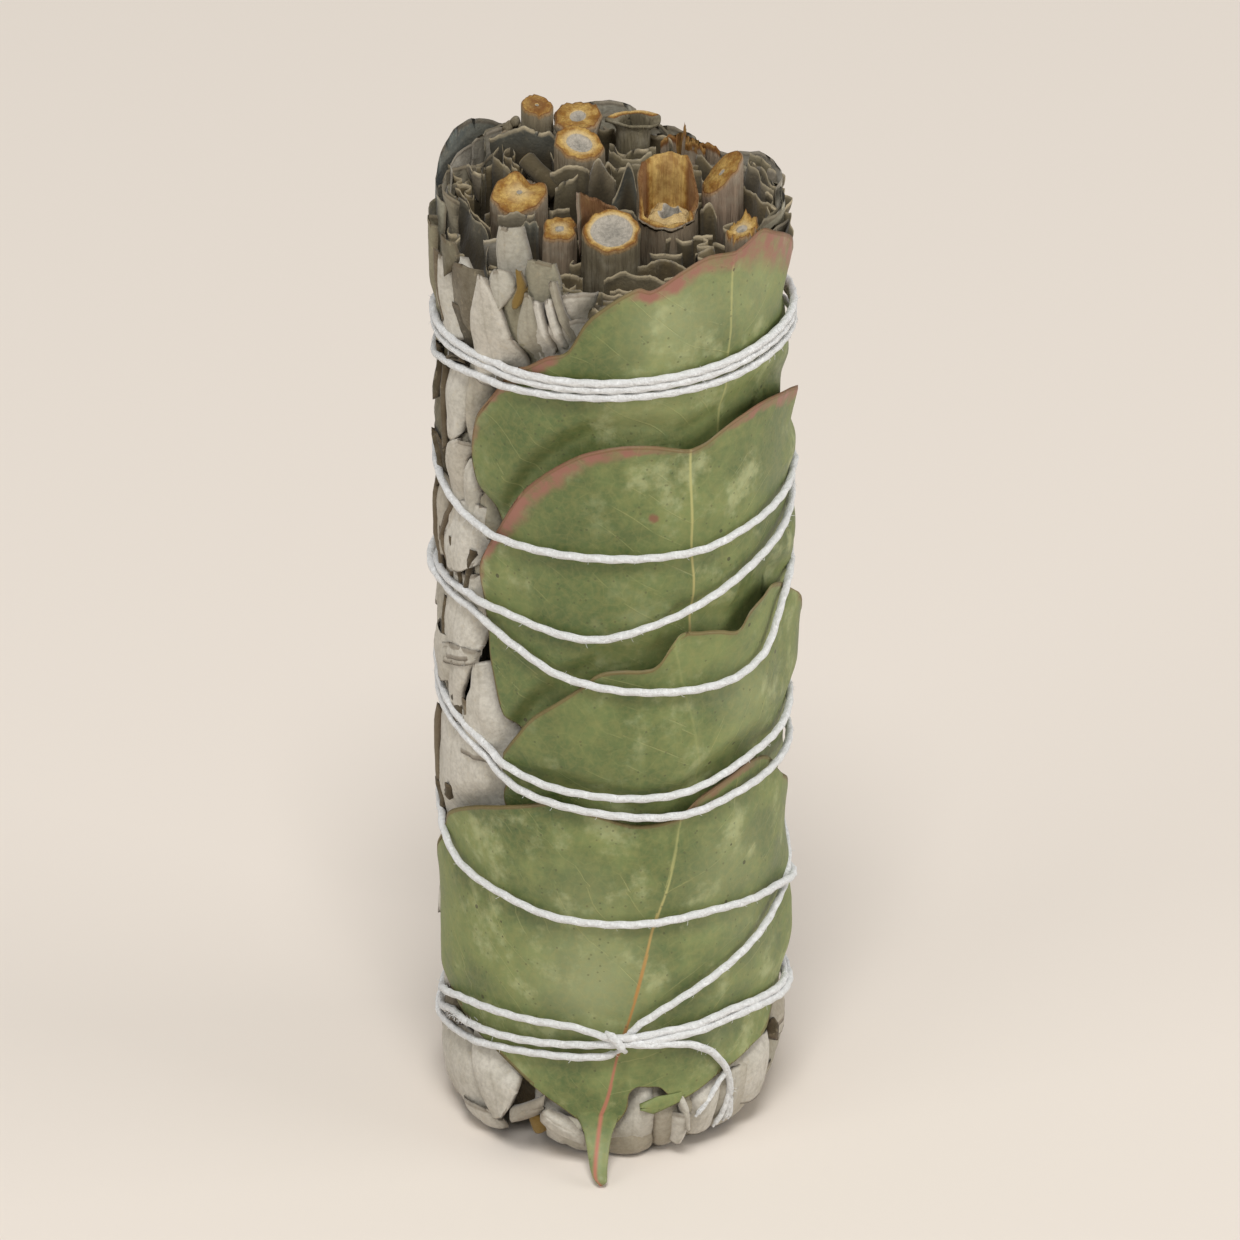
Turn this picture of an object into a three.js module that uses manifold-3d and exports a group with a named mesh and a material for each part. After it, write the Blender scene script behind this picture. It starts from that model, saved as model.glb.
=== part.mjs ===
// A tied sage bunch that stands on its leaf ends: sixteen leafy sage sprigs packed side by side, their
// cut stems standing in holes at the top, four round eucalyptus leaves laid over the front like tiles,
// and one cotton twine wound over all of them and knotted low on the front.
// Millimetres, +Z up, the front faces -Y, the origin is the middle of the foot.
// Angles around the bunch are in degrees: 0 is the front, 90 is +X, 180 is the back, -90 is -X.

import * as THREE from 'three';
import { mergeVertices } from 'three/addons/utils/BufferGeometryUtils.js';
import Module from 'manifold-3d';

const wasm = await Module();
wasm.setup();

// ---- Driving dimensions -------------------------------------------------------------------------

const BUNCH_RADIUS = 17.3;        // outside of the bare sage leaves
const COVERED_RADIUS = 16.05;     // outside of the sage pressed under the eucalyptus leaves
const CORE_RADIUS = 15.6;         // tightly packed leaves that the outer ones stand on
const CORE_FOOT = [[12.8, 0], [14.8, 2.6], [CORE_RADIUS, 8]];  // [radius, height] where they turn in
const FOOT_RADIUS = 13.4;         // where the outer leaf ends turn in to the ground
const FOOT_HEIGHT = 9;            // height over which they turn in
const TOP_HEIGHT = 101.5;         // cut leaf ends above the middle of the foot
const TOP_SLOPE = 0.22;           // the cut rises this much per millimetre towards the back
const CORE_DROP = 6;              // packed leaves end this far below the cut leaf ends
const GAP = 0.3;                  // clearance between neighbouring pieces
const HALF_GAP = GAP / 2;

const SAGE_LEAF_WIDTH = 6.6;      // a folded sage leaf on the outside
const SAGE_LEAF_OVERLAP = 1.4;    // how far it lies over the next column of leaves
const SAGE_LEAF_LENGTH = 24;
const SAGE_ROW_PITCH = 18;        // height from one leaf tip to the next in a column
const SAGE_LEAF_CROWN = 1.6;      // how far a folded leaf's middle stands above its edges
const SAGE_LEAF_TUCK = 1.35;      // how deep its other end lies under the next leaf
const SAGE_FREE_TUCK = 0.5;       // and how deep it lies where it stands free at the top
const SAGE_LEAF_ROOT = 1.6;       // how deep it is sunk into the packed leaves
const SAGE_LEAN = 7;              // degrees round the bunch that it leans at most, either way
const POINTED_TIP = 0.3;          // width of a leaf's tip as a share of its full width
const BLUNT_TIP = 0.7;            // the same where it meets the ground
const HIDDEN_DEPTH = 2.2;         // a sage leaf this far inside the eucalyptus isn't made
const SHEET_THICKNESS = 0.8;      // free leaf ends at the top
const CURL_SPACING = 3.3;         // rolled leaf ends seen from above
const CURL_RADIUS = 1.6;
const CURL_ROOT = 2;              // how deep they stand in the packed leaves
const ROLLED_SHARE = 0.62;        // this share of them is rolled, the rest is folded in a wave

const LEAF_THICKNESS = 0.6;       // eucalyptus leaf
const LEAF_UNDER = 16.75;         // radius of its middle where the next leaf lies on it
const LEAF_OVER = 17.7;           // and where it lies on the leaf below
const LEAF_STEP = 1.4;            // it starts to rise this far above the covering leaf's edge
const LEAF_RISE = 3.5;            // and rises over this height
const LEAF_FREE_ROWS = 3;         // rows of faces in its free part
const LEAF_CLEARANCE = GAP + 0.1; // room between it and the sage, under it and round its edge
const LEAF_ROOM = 2.4;            // the sage stays away this far outside it

const STEM_FOOT = 62;             // lower ends of the cut stems inside the bunch
const STEM_SIDES = 10;
const CUT_BEVEL = 0.25;           // worn edge round a cut
const PITH_DEPTH = 0.45;          // how deep the pith has sunk in
const TROUGH_FLARE = 0.5;         // how far the split stem opens at its cut
const BUD_RADIUS = 0.85;
const HOLE_SIDES = 12;
const HOLE_LENGTH = 60;           // past the cut leaf ends

const TWINE_RADIUS = 0.48;
const TWINE_SIDES = 5;
const TWINE_STEP = 5.2;           // length of one straight piece of the wound twine
const TAIL_STEP = 3.25;           // and of its loose end
const TWINE_ON_LEAF = 19.05;      // radius of its middle line over eucalyptus
const TWINE_ON_SAGE = 18.35;      // and over bare sage
const TWINE_PILE = 1.17;          // middle lines of two strands that cross stay this far apart
const TWINE_CLIMB = 10;           // degrees over which a strand climbs to cross another
const TWINE_SAMPLE = 2;           // degrees between the points of its middle line
const TAIL_LIFT = 0.9;            // how far the loose end starts above the strands under the knot

const FINISHES = {
  sage: { color: 0xb0ab9b, roughness: 0.95, metalness: 0 },
  stem: { color: 0xa98050, roughness: 0.8, metalness: 0 },
  eucalyptus: { color: 0x7e8557, roughness: 0.6, metalness: 0 },
  twine: { color: 0xdedfd8, roughness: 0.9, metalness: 0 },
};

// Sage sprigs: the middle of each packed cell, and the cut stem that stands in it where one shows.
const SPRIGS = [
  { x: -7.7, y: 12.8 },
  { x: -3.5, y: 13.4 },
  { x: -3.3, y: 8.2 },
  { x: 2.1, y: 13.6 },
  { x: -9.4, y: 2.2 },
  { x: -5.3, y: -3.0 },
  { x: -0.4, y: -4.2 },
  { x: 5.7, y: 0.6 },
  { x: 11.2, y: 3.4 },
  { x: 13.2, y: -1.9 },
  { x: -11.4, y: 9.4 },
  { x: 7.0, y: 11.0 },
  { x: -12.5, y: -4.5 },
  { x: -6.0, y: -11.5 },
  { x: 4.5, y: -12.0 },
  { x: 11.0, y: -8.5 },
];

// One broad sage leaf lies over the others at the back left: its side edges at the top, its heights.
const BROAD_LEAF = { left: -146, right: -97, low: 84, high: 107.7, radius: 17.45, sideDrop: 1.3 };

// Cut stems: place, height of the cut, radius, pith radius, and the slope of the cut along x and y.
const STEMS = [
  { x: -7.0, y: 11.6, top: 108.0, radius: 1.5, pith: 0.7, slope: [-0.15, 0.35] },
  { x: -3.5, y: 12.7, top: 107.1, radius: 1.85, pith: 1.0, slope: [0.1, 0.3] },
  { x: -3.3, y: 8.2, top: 106.1, radius: 2.3, pith: 1.2, slope: [-0.2, 0.4] },
  { x: 2.0, y: 12.2, top: 106.9, radius: 2.2, trough: 220 },
  { x: -9.4, y: 2.2, top: 103.2, radius: 2.5, pith: 1.5, slope: [0.1, 0.6], ragged: 0.5 },
  { x: -5.3, y: -3.0, top: 101.2, radius: 1.5, pith: 0.7, slope: [0.05, 0.25], sides: 6 },
  { x: 0.0, y: -5.2, top: 102.2, radius: 2.7, pith: 1.8, slope: [0.0, 0.35] },
  { x: 5.7, y: 0.6, top: 103.6, radius: 3.0, pith: 1.4, slope: [-0.1, 0.75], ragged: 0.9, bore: 5 },
  { x: 11.2, y: 3.4, top: 105.2, radius: 1.9, pith: 0.8, slope: [1.0, 0.35] },
  { x: 13.2, y: -1.9, top: 100.8, radius: 1.7, pith: 0.8, slope: [0.3, 0.3], ragged: 0.7 },
  { x: -10.3, y: 8.5, top: 104.9, radius: 0.8, pith: 0.3, slope: [0, 0], buds: 3 },
  { x: 7.0, y: 11.0, top: 105.0, radius: 1.5, pith: 0.8, slope: [0.4, 0.2], ragged: 1.3 },
];

// Eucalyptus leaves, as laid round the bunch: [angle, height] along the upper and the lower edge, paired
// point by point from left to right, and up the left and the right side between the corners.
const LEAVES = [
  {
    name: 'eucalyptus_leaf_top',
    top: [[-43, 87], [-34, 91.1], [-28, 92.1], [-21, 93.6], [-14, 94.6], [-8, 98], [0, 100.3],
      [8, 101.7], [13, 101.4], [23, 103.1], [32, 104.1], [43, 103.9], [54, 104.9], [63, 103.6],
      [79, 100.9], [92, 97.5]],
    bottom: [[-33, 68.5], [-26, 68.4], [-19, 68.4], [-12, 68.5], [-5, 68.8], [2, 69.1], [9, 69.5],
      [16, 70], [23, 70.4], [31, 70.7], [40, 70.9], [49, 71.2], [59, 71.4], [71, 71.4], [85, 71.2],
      [98, 71]],
    left: [[-38, 71.2], [-43, 74], [-50, 78.4], [-51, 81], [-48, 84.6]],
    right: [[106, 72.6], [113, 76.5], [117, 83], [114, 89], [104, 94]],
  },
  {
    name: 'eucalyptus_leaf_second',
    top: [[-40, 72.8], [-36, 74.9], [-30, 77.9], [-23, 80.2], [-16, 82], [-9, 83.4], [-1, 84.2],
      [6, 84.4], [13, 84.2], [19, 83.7], [25, 83.2], [31, 83.5], [37, 84.4], [45, 85.2], [56, 85.5],
      [71, 84.6], [86, 83], [98, 81]],
    bottom: [[-30, 49.4], [-24, 49.6], [-17, 49.6], [-10, 49.4], [-3, 49], [3, 48.6], [9, 48.4],
      [15, 48.6], [21, 49.2], [27, 50.3], [33, 51.2], [39, 51.8], [46, 52.2], [54, 52.3], [63, 51.8],
      [74, 50.4], [85, 49.6], [96, 49.5]],
    left: [[-35, 50.6], [-40, 53.6], [-45, 60.3], [-48, 66.8], [-45, 70]],
    right: [[105, 54], [110, 60], [112, 67], [110, 74], [105, 78.5]],
  },
  {
    name: 'eucalyptus_leaf_third',
    top: [[-38, 47.3], [-32, 50], [-26, 52.6], [-16, 55.2], [-9, 57], [-4, 58.4], [3, 58.8],
      [10, 58.7], [15, 59.2], [22, 62.2], [30, 62.1], [37, 61.6], [45, 60.8], [50, 62.4], [57, 63.2],
      [65, 63.6], [81, 61.6], [100, 58]],
    bottom: [[-30, 37], [-24, 36], [-18, 35.3], [-11, 34.6], [-4, 34], [2, 33.6], [8, 33.4],
      [14, 33.2], [20, 33], [27, 33], [34, 33], [41, 33.2], [48, 33.5], [55, 34], [63, 34.7],
      [72, 35.7], [83, 37.3], [95, 39.5]],
    left: [[-37, 38.7], [-42, 41.2], [-40, 43.4], [-39, 45.4]],
    right: [[103, 43], [109, 47], [113, 51.5], [109, 55.5]],
    flare: { angle: 92, low: 50, high: 60, out: 1.3 },
  },
  {
    name: 'eucalyptus_leaf_bottom',
    top: [[-76, 32.3], [-71, 35.1], [-64, 37.3], [-51, 39.6], [-40, 41], [-28, 42.2], [-19, 42.9],
      [-12, 42.3], [-3, 41.7], [6, 40.8], [14, 40.7], [23, 41.2], [31, 43], [43, 44.2], [54, 44.6],
      [65, 43.3], [75, 39.9], [88, 37], [100, 33]],
    bottom: [[-77, 15.2], [-66, 14.3], [-54, 12.7], [-43, 11.5], [-32, 9.5], [-22, 7.7], [-14, 6.2],
      [-8, 5.2], [-1, 5.2], [4, 7.2], [8, 9.4], [15, 9.4], [19, 7.4], [30, 7.9], [43, 9.3],
      [54, 10.2], [66, 11.2], [78, 13], [90, 15.5]],
    left: [[-86, 15.8], [-90, 17.5], [-91, 21], [-90, 25], [-86, 28.8]],
    right: [[98, 17.5], [104, 20.5], [107, 24], [107, 27.5], [105, 30.5]],
  },
];

// Leaf stalk of the lowest eucalyptus leaf: distance in front of the axis, height, width, thickness.
const STALK = [
  { out: 17.7, height: 11.5, width: 3.0, thick: 0.9 },
  { out: 17.9, height: 8.0, width: 4.6, thick: 1.1 },
  { out: 18.6, height: 5.2, width: 3.6, thick: 1.3 },
  { out: 19.9, height: 2.9, width: 2.7, thick: 1.3 },
  { out: 21.3, height: 1.3, width: 2.1, thick: 1.2 },
  { out: 22.2, height: 0.75, width: 1.6, thick: 1.0 },
];
const STALK_SIDEWAYS = -1.3;

// Route of the wound twine: for each turn, [angle, height] where it crosses the front half.
const TURNS = [
  [[3, 15.6], [15, 18.4], [29, 21], [45, 23.4], [61, 25.8], [79, 27]],
  [[-90, 51], [-73, 49.4], [-51, 47.8], [-34, 45.9], [-16, 44.7], [18, 43.9], [54, 45.8], [79, 46.3]],
  [[-72, 63.5], [-41, 63.9], [-7, 62.4], [15, 64], [32, 65.7], [53, 67.9], [79, 69.8]],
  [[-87, 92.5], [-45, 91.9], [-16, 91.7], [28, 92.1], [70, 92.7]],
  [[-87, 91.3], [-45, 90.8], [-16, 90.6], [28, 91], [70, 91.6]],
  [[-90, 86.9], [-72, 88.1], [-45, 89.2], [-4, 89.6], [35, 89.8], [69, 90.2]],
  [[-76, 74.2], [-48, 72.3], [-16, 71.8], [28, 71.5], [48, 72.3], [76, 73]],
  [[-72, 62.4], [-50, 62.3], [-33, 60.4], [-16, 57.9], [9, 56.3], [40, 55.5], [57, 56.5], [73, 61]],
  [[-83, 48.6], [-63, 47.4], [-46, 46], [-30, 43.7], [-10, 42.6], [25, 41.4], [45, 42.1], [71, 42.4]],
  [[-76, 34.1], [-60, 31.9], [-38, 30.8], [-17, 29.6], [12, 29.2], [29, 29.3], [55, 28.3], [74, 27.2]],
  [[-77, 15.2], [-58, 15.5], [-38, 16.4], [-10, 17], [0, 16.5], [29, 17], [45, 17], [75, 15.4]],
  [[-77, 13.1], [-38, 14.9], [-10, 15.4], [0, 15.3], [29, 15.8], [45, 15.8], [75, 14.2]],
  [[-75, 11.4], [-52, 12.8], [-31, 13.6], [-17, 14.1], [0, 14.5]],
];
const KNOT = { angle: 3, height: 15.3, radius: 19.05, size: [1.7, 0.75, 1.2] };
const TAIL = [[3, 15.2], [14, 15.4], [27, 14.6], [36, 12.4], [42, 9.3], [44, 6.2], [44.5, 3.4]];

// ---- Small helpers ------------------------------------------------------------------------------

const RADIANS = Math.PI / 180;

/** A repeatable draw between 0 and 1 for each seed. */
function draw(seed) {
  const wave = Math.sin(seed * 127.1 + 311.7) * 43758.5453;
  return wave - Math.floor(wave);
}

function between(low, high, seed) {
  return low + (high - low) * draw(seed);
}

/** A smooth step from 0 at one value to 1 at another. */
function ramp(from, to, value) {
  const t = Math.min(1, Math.max(0, (value - from) / (to - from)));
  return t * t * (3 - 2 * t);
}

function mix(a, b, t) {
  return a + (b - a) * t;
}

/** A point at an angle round the bunch. */
function around(angle, radius, height) {
  const turn = angle * RADIANS;
  return new THREE.Vector3(radius * Math.sin(turn), -radius * Math.cos(turn), height);
}

/** Height of the cut leaf ends above a point of the foot. */
function topAt(x, y) {
  return TOP_HEIGHT + TOP_SLOPE * y;
}

/** Linear interpolation in a list of [place, value], level beyond its ends. */
function valueOn(list, place) {
  if (place <= list[0][0]) return list[0][1];
  for (let k = 1; k < list.length; k += 1) {
    if (place <= list[k][0]) {
      const t = (place - list[k - 1][0]) / (list[k][0] - list[k - 1][0]);
      return mix(list[k - 1][1], list[k][1], t);
    }
  }
  return list[list.length - 1][1];
}

// ---- Solids -------------------------------------------------------------------------------------

/** Turns a closed three.js geometry into a manifold solid. */
function solidOf(geometry) {
  const bare = geometry.clone();
  bare.deleteAttribute('normal');
  bare.deleteAttribute('uv');
  const merged = mergeVertices(bare, 1e-4);
  const index = merged.getIndex().array;
  const triangles = [];
  for (let k = 0; k < index.length; k += 3) {
    const [a, b, c] = [index[k], index[k + 1], index[k + 2]];
    if (a !== b && b !== c && c !== a) triangles.push(a, b, c);
  }
  return new wasm.Manifold(new wasm.Mesh({
    numProp: 3,
    vertProperties: new Float32Array(merged.getAttribute('position').array),
    triVerts: new Uint32Array(triangles),
  }));
}

/** Joins a list of solids into one. */
function join(solids) {
  return solids.reduce((whole, next) => whole.add(next));
}

/** The largest body of a solid, with loose scraps dropped. */
function mainBody(solid) {
  const bodies = solid.decompose();
  return bodies.reduce((best, next) => (next.volume() > best.volume() ? next : best));
}

/** A named mesh from a manifold solid. */
function meshOf(name, solid, finish) {
  const { vertProperties, triVerts } = solid.getMesh();
  const geometry = new THREE.BufferGeometry();
  geometry.setAttribute('position', new THREE.BufferAttribute(new Float32Array(vertProperties), 3));
  geometry.setIndex(new THREE.BufferAttribute(new Uint32Array(triVerts), 1));
  geometry.computeVertexNormals();
  const mesh = new THREE.Mesh(geometry, new THREE.MeshStandardMaterial(finish));
  mesh.name = name;
  return mesh;
}

/** A closed slab between two grids of points, both faces split into triangles alike. */
function slab(front, back) {
  const columns = front.length;
  const rows = front[0].length;
  const positions = [...front.flat(), ...back.flat()].flatMap((point) => point.toArray());
  const index = [];
  const at = (side, i, j) => (side * columns + i) * rows + j;
  const quad = (a, b, c, d) => index.push(a, b, c, a, c, d);
  for (let i = 0; i < columns - 1; i += 1) {
    for (let j = 0; j < rows - 1; j += 1) {
      quad(at(0, i, j), at(0, i + 1, j), at(0, i + 1, j + 1), at(0, i, j + 1));
      const [a, b, c, d] = [at(1, i, j), at(1, i + 1, j), at(1, i + 1, j + 1), at(1, i, j + 1)];
      index.push(a, c, b, a, d, c);
    }
  }
  const top = rows - 1;
  for (let i = 0; i < columns - 1; i += 1) {
    quad(at(0, i + 1, 0), at(0, i, 0), at(1, i, 0), at(1, i + 1, 0));
    quad(at(0, i, top), at(0, i + 1, top), at(1, i + 1, top), at(1, i, top));
  }
  const last = columns - 1;
  for (let j = 0; j < rows - 1; j += 1) {
    quad(at(0, 0, j), at(0, 0, j + 1), at(1, 0, j + 1), at(1, 0, j));
    quad(at(0, last, j + 1), at(0, last, j), at(1, last, j), at(1, last, j + 1));
  }
  const geometry = new THREE.BufferGeometry();
  geometry.setAttribute('position', new THREE.Float32BufferAttribute(positions, 3));
  geometry.setIndex(index);
  return solidOf(geometry);
}

/** A grid of points, column by column. */
function grid(columns, rows, pointAt) {
  return Array.from({ length: columns + 1 }, (_, i) => (
    Array.from({ length: rows + 1 }, (__, j) => pointAt(i / columns, j / rows, i, j))));
}

// ---- Eucalyptus leaves --------------------------------------------------------------------------

/** Shares of the way along a list of points, for one of its coordinates, from 0 to 1. */
function shares(points, axis) {
  const first = points[0][axis];
  const last = points[points.length - 1][axis];
  return points.map((point) => (point[axis] - first) / (last - first));
}

/** [angle, height] over a whole leaf: a net spanned by its four edges. */
function edgeNet(leaf) {
  const { top, bottom } = leaf;
  const end = top.length - 1;
  const left = [bottom[0], ...leaf.left, top[0]];
  const right = [bottom[end], ...leaf.right, top[end]];
  const [alongTop, alongBottom] = [shares(top, 0), shares(bottom, 0)];
  const [upLeft, upRight] = [shares(left, 1), shares(right, 1)];
  return top.map((_, i) => left.map((__, j) => {
    const u = (alongTop[i] + alongBottom[i]) / 2;
    const v = (upLeft[j] + upRight[j]) / 2;
    return [0, 1].map((axis) => {
      const across = mix(bottom[i][axis], top[i][axis], v);
      const upward = mix(left[j][axis], right[j][axis], u);
      const corners = mix(mix(bottom[0][axis], bottom[end][axis], u),
        mix(top[0][axis], top[end][axis], u), v);
      return across + upward - corners;
    });
  }));
}

/** One column of a covered leaf: low under the covering leaf, a crease past its edge, then high. */
function creasedColumn(column, cover) {
  const heights = column.map(([angle, height]) => [height, angle]);
  const foot = column[0][1];
  const head = column[column.length - 1][1];
  let crease = foot;
  while (crease < valueOn(cover.top, valueOn(heights, crease)) + LEAF_STEP) crease += 0.2;
  crease = Math.min(crease, mix(foot, head, 0.75));
  const flat = Math.min(crease + LEAF_RISE, mix(crease, head, 0.6));
  const rows = [[foot, LEAF_UNDER], [crease, LEAF_UNDER], [flat, LEAF_OVER]];
  for (let k = 1; k <= LEAF_FREE_ROWS; k += 1) {
    rows.push([mix(flat, head, k / LEAF_FREE_ROWS), LEAF_OVER]);
  }
  return rows.map(([height, radius]) => [valueOn(heights, height), height, radius]);
}

/** [angle, height, radius] over the middle of a leaf as it lies on the bunch. */
function leafNet(number) {
  const leaf = LEAVES[number];
  const cover = LEAVES[number + 1];
  const laid = edgeNet(leaf).map((column) => (
    cover ? creasedColumn(column, cover) : column.map((point) => [...point, LEAF_OVER])));
  if (leaf.flare) {
    const { angle: start, low, high, out } = leaf.flare;
    laid.flat().forEach((point) => {
      point[2] += out * ramp(start, start + 20, point[0]) * ramp(low, high, point[1]);
    });
  }
  return laid;
}

/** A leaf as a solid between two distances from its middle, its outline moved out by a margin. */
function leafSolid(number, inside, outside, margin) {
  const net = leafNet(number);
  const flat = net.flat();
  const middle = [0, 1].map((axis) => flat.reduce((sum, point) => sum + point[axis], 0) / flat.length);
  const [front, back] = [outside, -inside].map((shift) => net.map((column) => column.map((point) => {
    const dx = (point[0] - middle[0]) * RADIANS * LEAF_OVER;
    const dz = point[1] - middle[1];
    const grow = margin / Math.hypot(dx, dz, 1e-6);
    const angle = point[0] + (point[0] - middle[0]) * grow;
    const height = point[1] + dz * grow;
    return around(angle, point[2] + shift, height);
  })));
  return slab(front, back);
}

/** The stalk of the lowest leaf, bent out and down to the ground. */
function stalkSolid() {
  const sides = 6;
  const rings = STALK.map((ring, k) => {
    const before = STALK[Math.max(0, k - 1)];
    const after = STALK[Math.min(STALK.length - 1, k + 1)];
    const run = new THREE.Vector2(after.out - before.out, after.height - before.height).normalize();
    const sideways = STALK_SIDEWAYS * ramp(8, 1, ring.height);
    return Array.from({ length: sides }, (_, s) => {
      const turn = (s / sides) * 2 * Math.PI;
      const lift = Math.sin(turn) * ring.thick / 2;
      return new THREE.Vector3(
        sideways + Math.cos(turn) * ring.width / 2,
        -(ring.out - run.y * lift),
        Math.max(0.05, ring.height + run.x * lift),
      );
    });
  });
  return loft(rings);
}

/** A closed solid through rings of equally many points, fanned shut at both ends. */
function loft(rings) {
  const count = rings[0].length;
  const positions = rings.flat().flatMap((point) => point.toArray());
  const index = [];
  for (let k = 0; k < rings.length - 1; k += 1) {
    for (let s = 0; s < count; s += 1) {
      const a = k * count + s;
      const b = k * count + ((s + 1) % count);
      index.push(a, b, b + count, a, b + count, a + count);
    }
  }
  const lastRing = (rings.length - 1) * count;
  for (let s = 1; s < count - 1; s += 1) {
    index.push(0, s + 1, s, lastRing, lastRing + s, lastRing + s + 1);
  }
  const geometry = new THREE.BufferGeometry();
  geometry.setAttribute('position', new THREE.Float32BufferAttribute(positions, 3));
  geometry.setIndex(index);
  const solid = solidOf(geometry);
  if (solid.volume() > 0) return solid;
  geometry.setIndex(index.map((_, k) => index[k - (k % 3) + [0, 2, 1][k % 3]]));
  return solidOf(geometry);
}

/** The outline of each eucalyptus leaf, laid out flat: distance round the bunch and height. */
const OUTLINES = LEAVES.map((_, number) => {
  const net = leafNet(number);
  const last = net.length - 1;
  const rows = net[0].length - 1;
  const lower = net.map((column) => column[0]);
  const upper = net.map((column) => column[rows]).reverse();
  return [...lower, ...net[last].slice(1), ...upper.slice(1), ...net[0].slice(1, rows).reverse()]
    .map(([angle, height]) => [angle * RADIANS * LEAF_OVER, height]);
});

/** How far inside the eucalyptus leaves a point of the outside lies, negative beyond their edges. */
function depthInside(angle, height) {
  const turned = angle > 180 ? angle - 360 : angle;
  const x = turned * RADIANS * LEAF_OVER;
  return Math.max(...OUTLINES.map((outline) => {
    let nearest = Infinity;
    let inside = false;
    outline.forEach(([bx, by], k) => {
      const [ax, ay] = outline[(k + outline.length - 1) % outline.length];
      const length2 = (bx - ax) ** 2 + (by - ay) ** 2 || 1e-9;
      const t = Math.min(1, Math.max(0, ((x - ax) * (bx - ax) + (height - ay) * (by - ay)) / length2));
      nearest = Math.min(nearest, Math.hypot(x - mix(ax, bx, t), height - mix(ay, by, t)));
      if ((ay > height) !== (by > height) && x < ax + ((height - ay) * (bx - ax)) / (by - ay)) {
        inside = !inside;
      }
    });
    return inside ? nearest : -nearest;
  }));
}

// ---- Sage ---------------------------------------------------------------------------------------

/** Outer radius of the sage at a height, rounded in at the foot. */
function bunchRadius(height) {
  const t = Math.min(1, Math.max(0, height / FOOT_HEIGHT));
  return mix(FOOT_RADIUS, BUNCH_RADIUS, Math.sqrt(1 - (1 - t) ** 2));
}

/** Outer radius of the sage, pressed in where a eucalyptus leaf covers it. */
function sageRadius(angle, height) {
  const pressed = mix(BUNCH_RADIUS, COVERED_RADIUS, ramp(-2, 0, depthInside(angle, height)));
  return Math.min(bunchRadius(height), pressed);
}

/** Keeps the part of a polygon where x * nx + y * ny <= limit. */
function clipPolygon(polygon, nx, ny, limit) {
  const kept = [];
  polygon.forEach((point, k) => {
    const next = polygon[(k + 1) % polygon.length];
    const here = point[0] * nx + point[1] * ny - limit;
    const there = next[0] * nx + next[1] * ny - limit;
    if (here <= 0) kept.push(point);
    if ((here < 0 && there > 0) || (here > 0 && there < 0)) {
      const t = here / (here - there);
      kept.push([mix(point[0], next[0], t), mix(point[1], next[1], t)]);
    }
  });
  return kept;
}

/** The plan of one sprig's cell: the points nearer to it than to any other sprig. */
function cellPlan(number) {
  const own = SPRIGS[number];
  const reach = BUNCH_RADIUS + 3;
  let plan = [[-reach, -reach], [reach, -reach], [reach, reach], [-reach, reach]];
  SPRIGS.forEach((other, k) => {
    if (k === number) return;
    const distance = Math.hypot(other.x - own.x, other.y - own.y);
    const [nx, ny] = [(other.x - own.x) / distance, (other.y - own.y) / distance];
    const middle = nx * (own.x + other.x) / 2 + ny * (own.y + other.y) / 2;
    plan = clipPolygon(plan, nx, ny, middle - HALF_GAP);
  });
  return plan;
}

/** A prism on a plan polygon. */
function prism(plan, low, high) {
  const shape = new THREE.Shape(plan.map(([x, y]) => new THREE.Vector2(x, y)));
  const geometry = new THREE.ExtrudeGeometry(shape, { depth: high - low, bevelEnabled: false });
  return solidOf(geometry.translate(0, 0, low));
}

/** Number of the sprig whose cell holds a point. */
function sprigAt(x, y) {
  const distances = SPRIGS.map((sprig) => Math.hypot(sprig.x - x, sprig.y - y));
  return distances.indexOf(Math.min(...distances));
}

/** The round body of packed leaves that all cells are cut from. */
function packedBody(top) {
  const profile = [[0, 0], ...CORE_FOOT, [CORE_RADIUS, top], [0, top]];
  const outline = profile.map(([radius, height]) => new THREE.Vector2(radius, height));
  return solidOf(new THREE.LatheGeometry(outline, 36).rotateX(Math.PI / 2));
}

/** Share of the full width of a sage leaf, from its tip to its hidden end. */
function leafWidth(share, atTip) {
  return mix(atTip, 1, Math.sin(Math.min(1, share / 0.45) * Math.PI / 2));
}

/** A folded sage leaf on the outside, tip down, its middle crowned and its edges sunk in. */
function sideLeaf(angle, tip, end, width, coreTop, seed) {
  const free = end > coreTop;
  const lean = between(-SAGE_LEAN, SAGE_LEAN, seed + 0.3);
  const atTip = tip < FOOT_HEIGHT / 2 ? BLUNT_TIP : POINTED_TIP;
  const surface = (across, along) => {
    const height = mix(tip, end, along);
    const half = (width / 2) * (free && along > 0.7 ? 0.9 : leafWidth(along, atTip));
    const turned = angle + (across * half) / BUNCH_RADIUS / RADIANS + lean * (along - 0.5);
    const tuck = (free ? SAGE_FREE_TUCK : SAGE_LEAF_TUCK) * ramp(0.3, 1, along);
    const radius = sageRadius(turned, height) - tuck - SAGE_LEAF_CROWN * across * across;
    const uneven = free && along === 1 ? between(-1.6, 0.6, seed + across * 3.7) : 0;
    return { turned, radius, height: height + uneven };
  };
  const front = grid(2, 4, (u, v) => {
    const point = surface(2 * u - 1, v);
    return around(point.turned, point.radius, point.height);
  });
  const back = grid(2, 4, (u, v) => {
    const point = surface(2 * u - 1, v);
    const thin = point.radius - SHEET_THICKNESS;
    const rooted = point.height < coreTop - CURL_ROOT;
    const deep = rooted ? Math.min(thin, CORE_RADIUS - SAGE_LEAF_ROOT) : thin;
    return around(point.turned, deep, point.height);
  });
  return slab(front, back);
}

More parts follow.
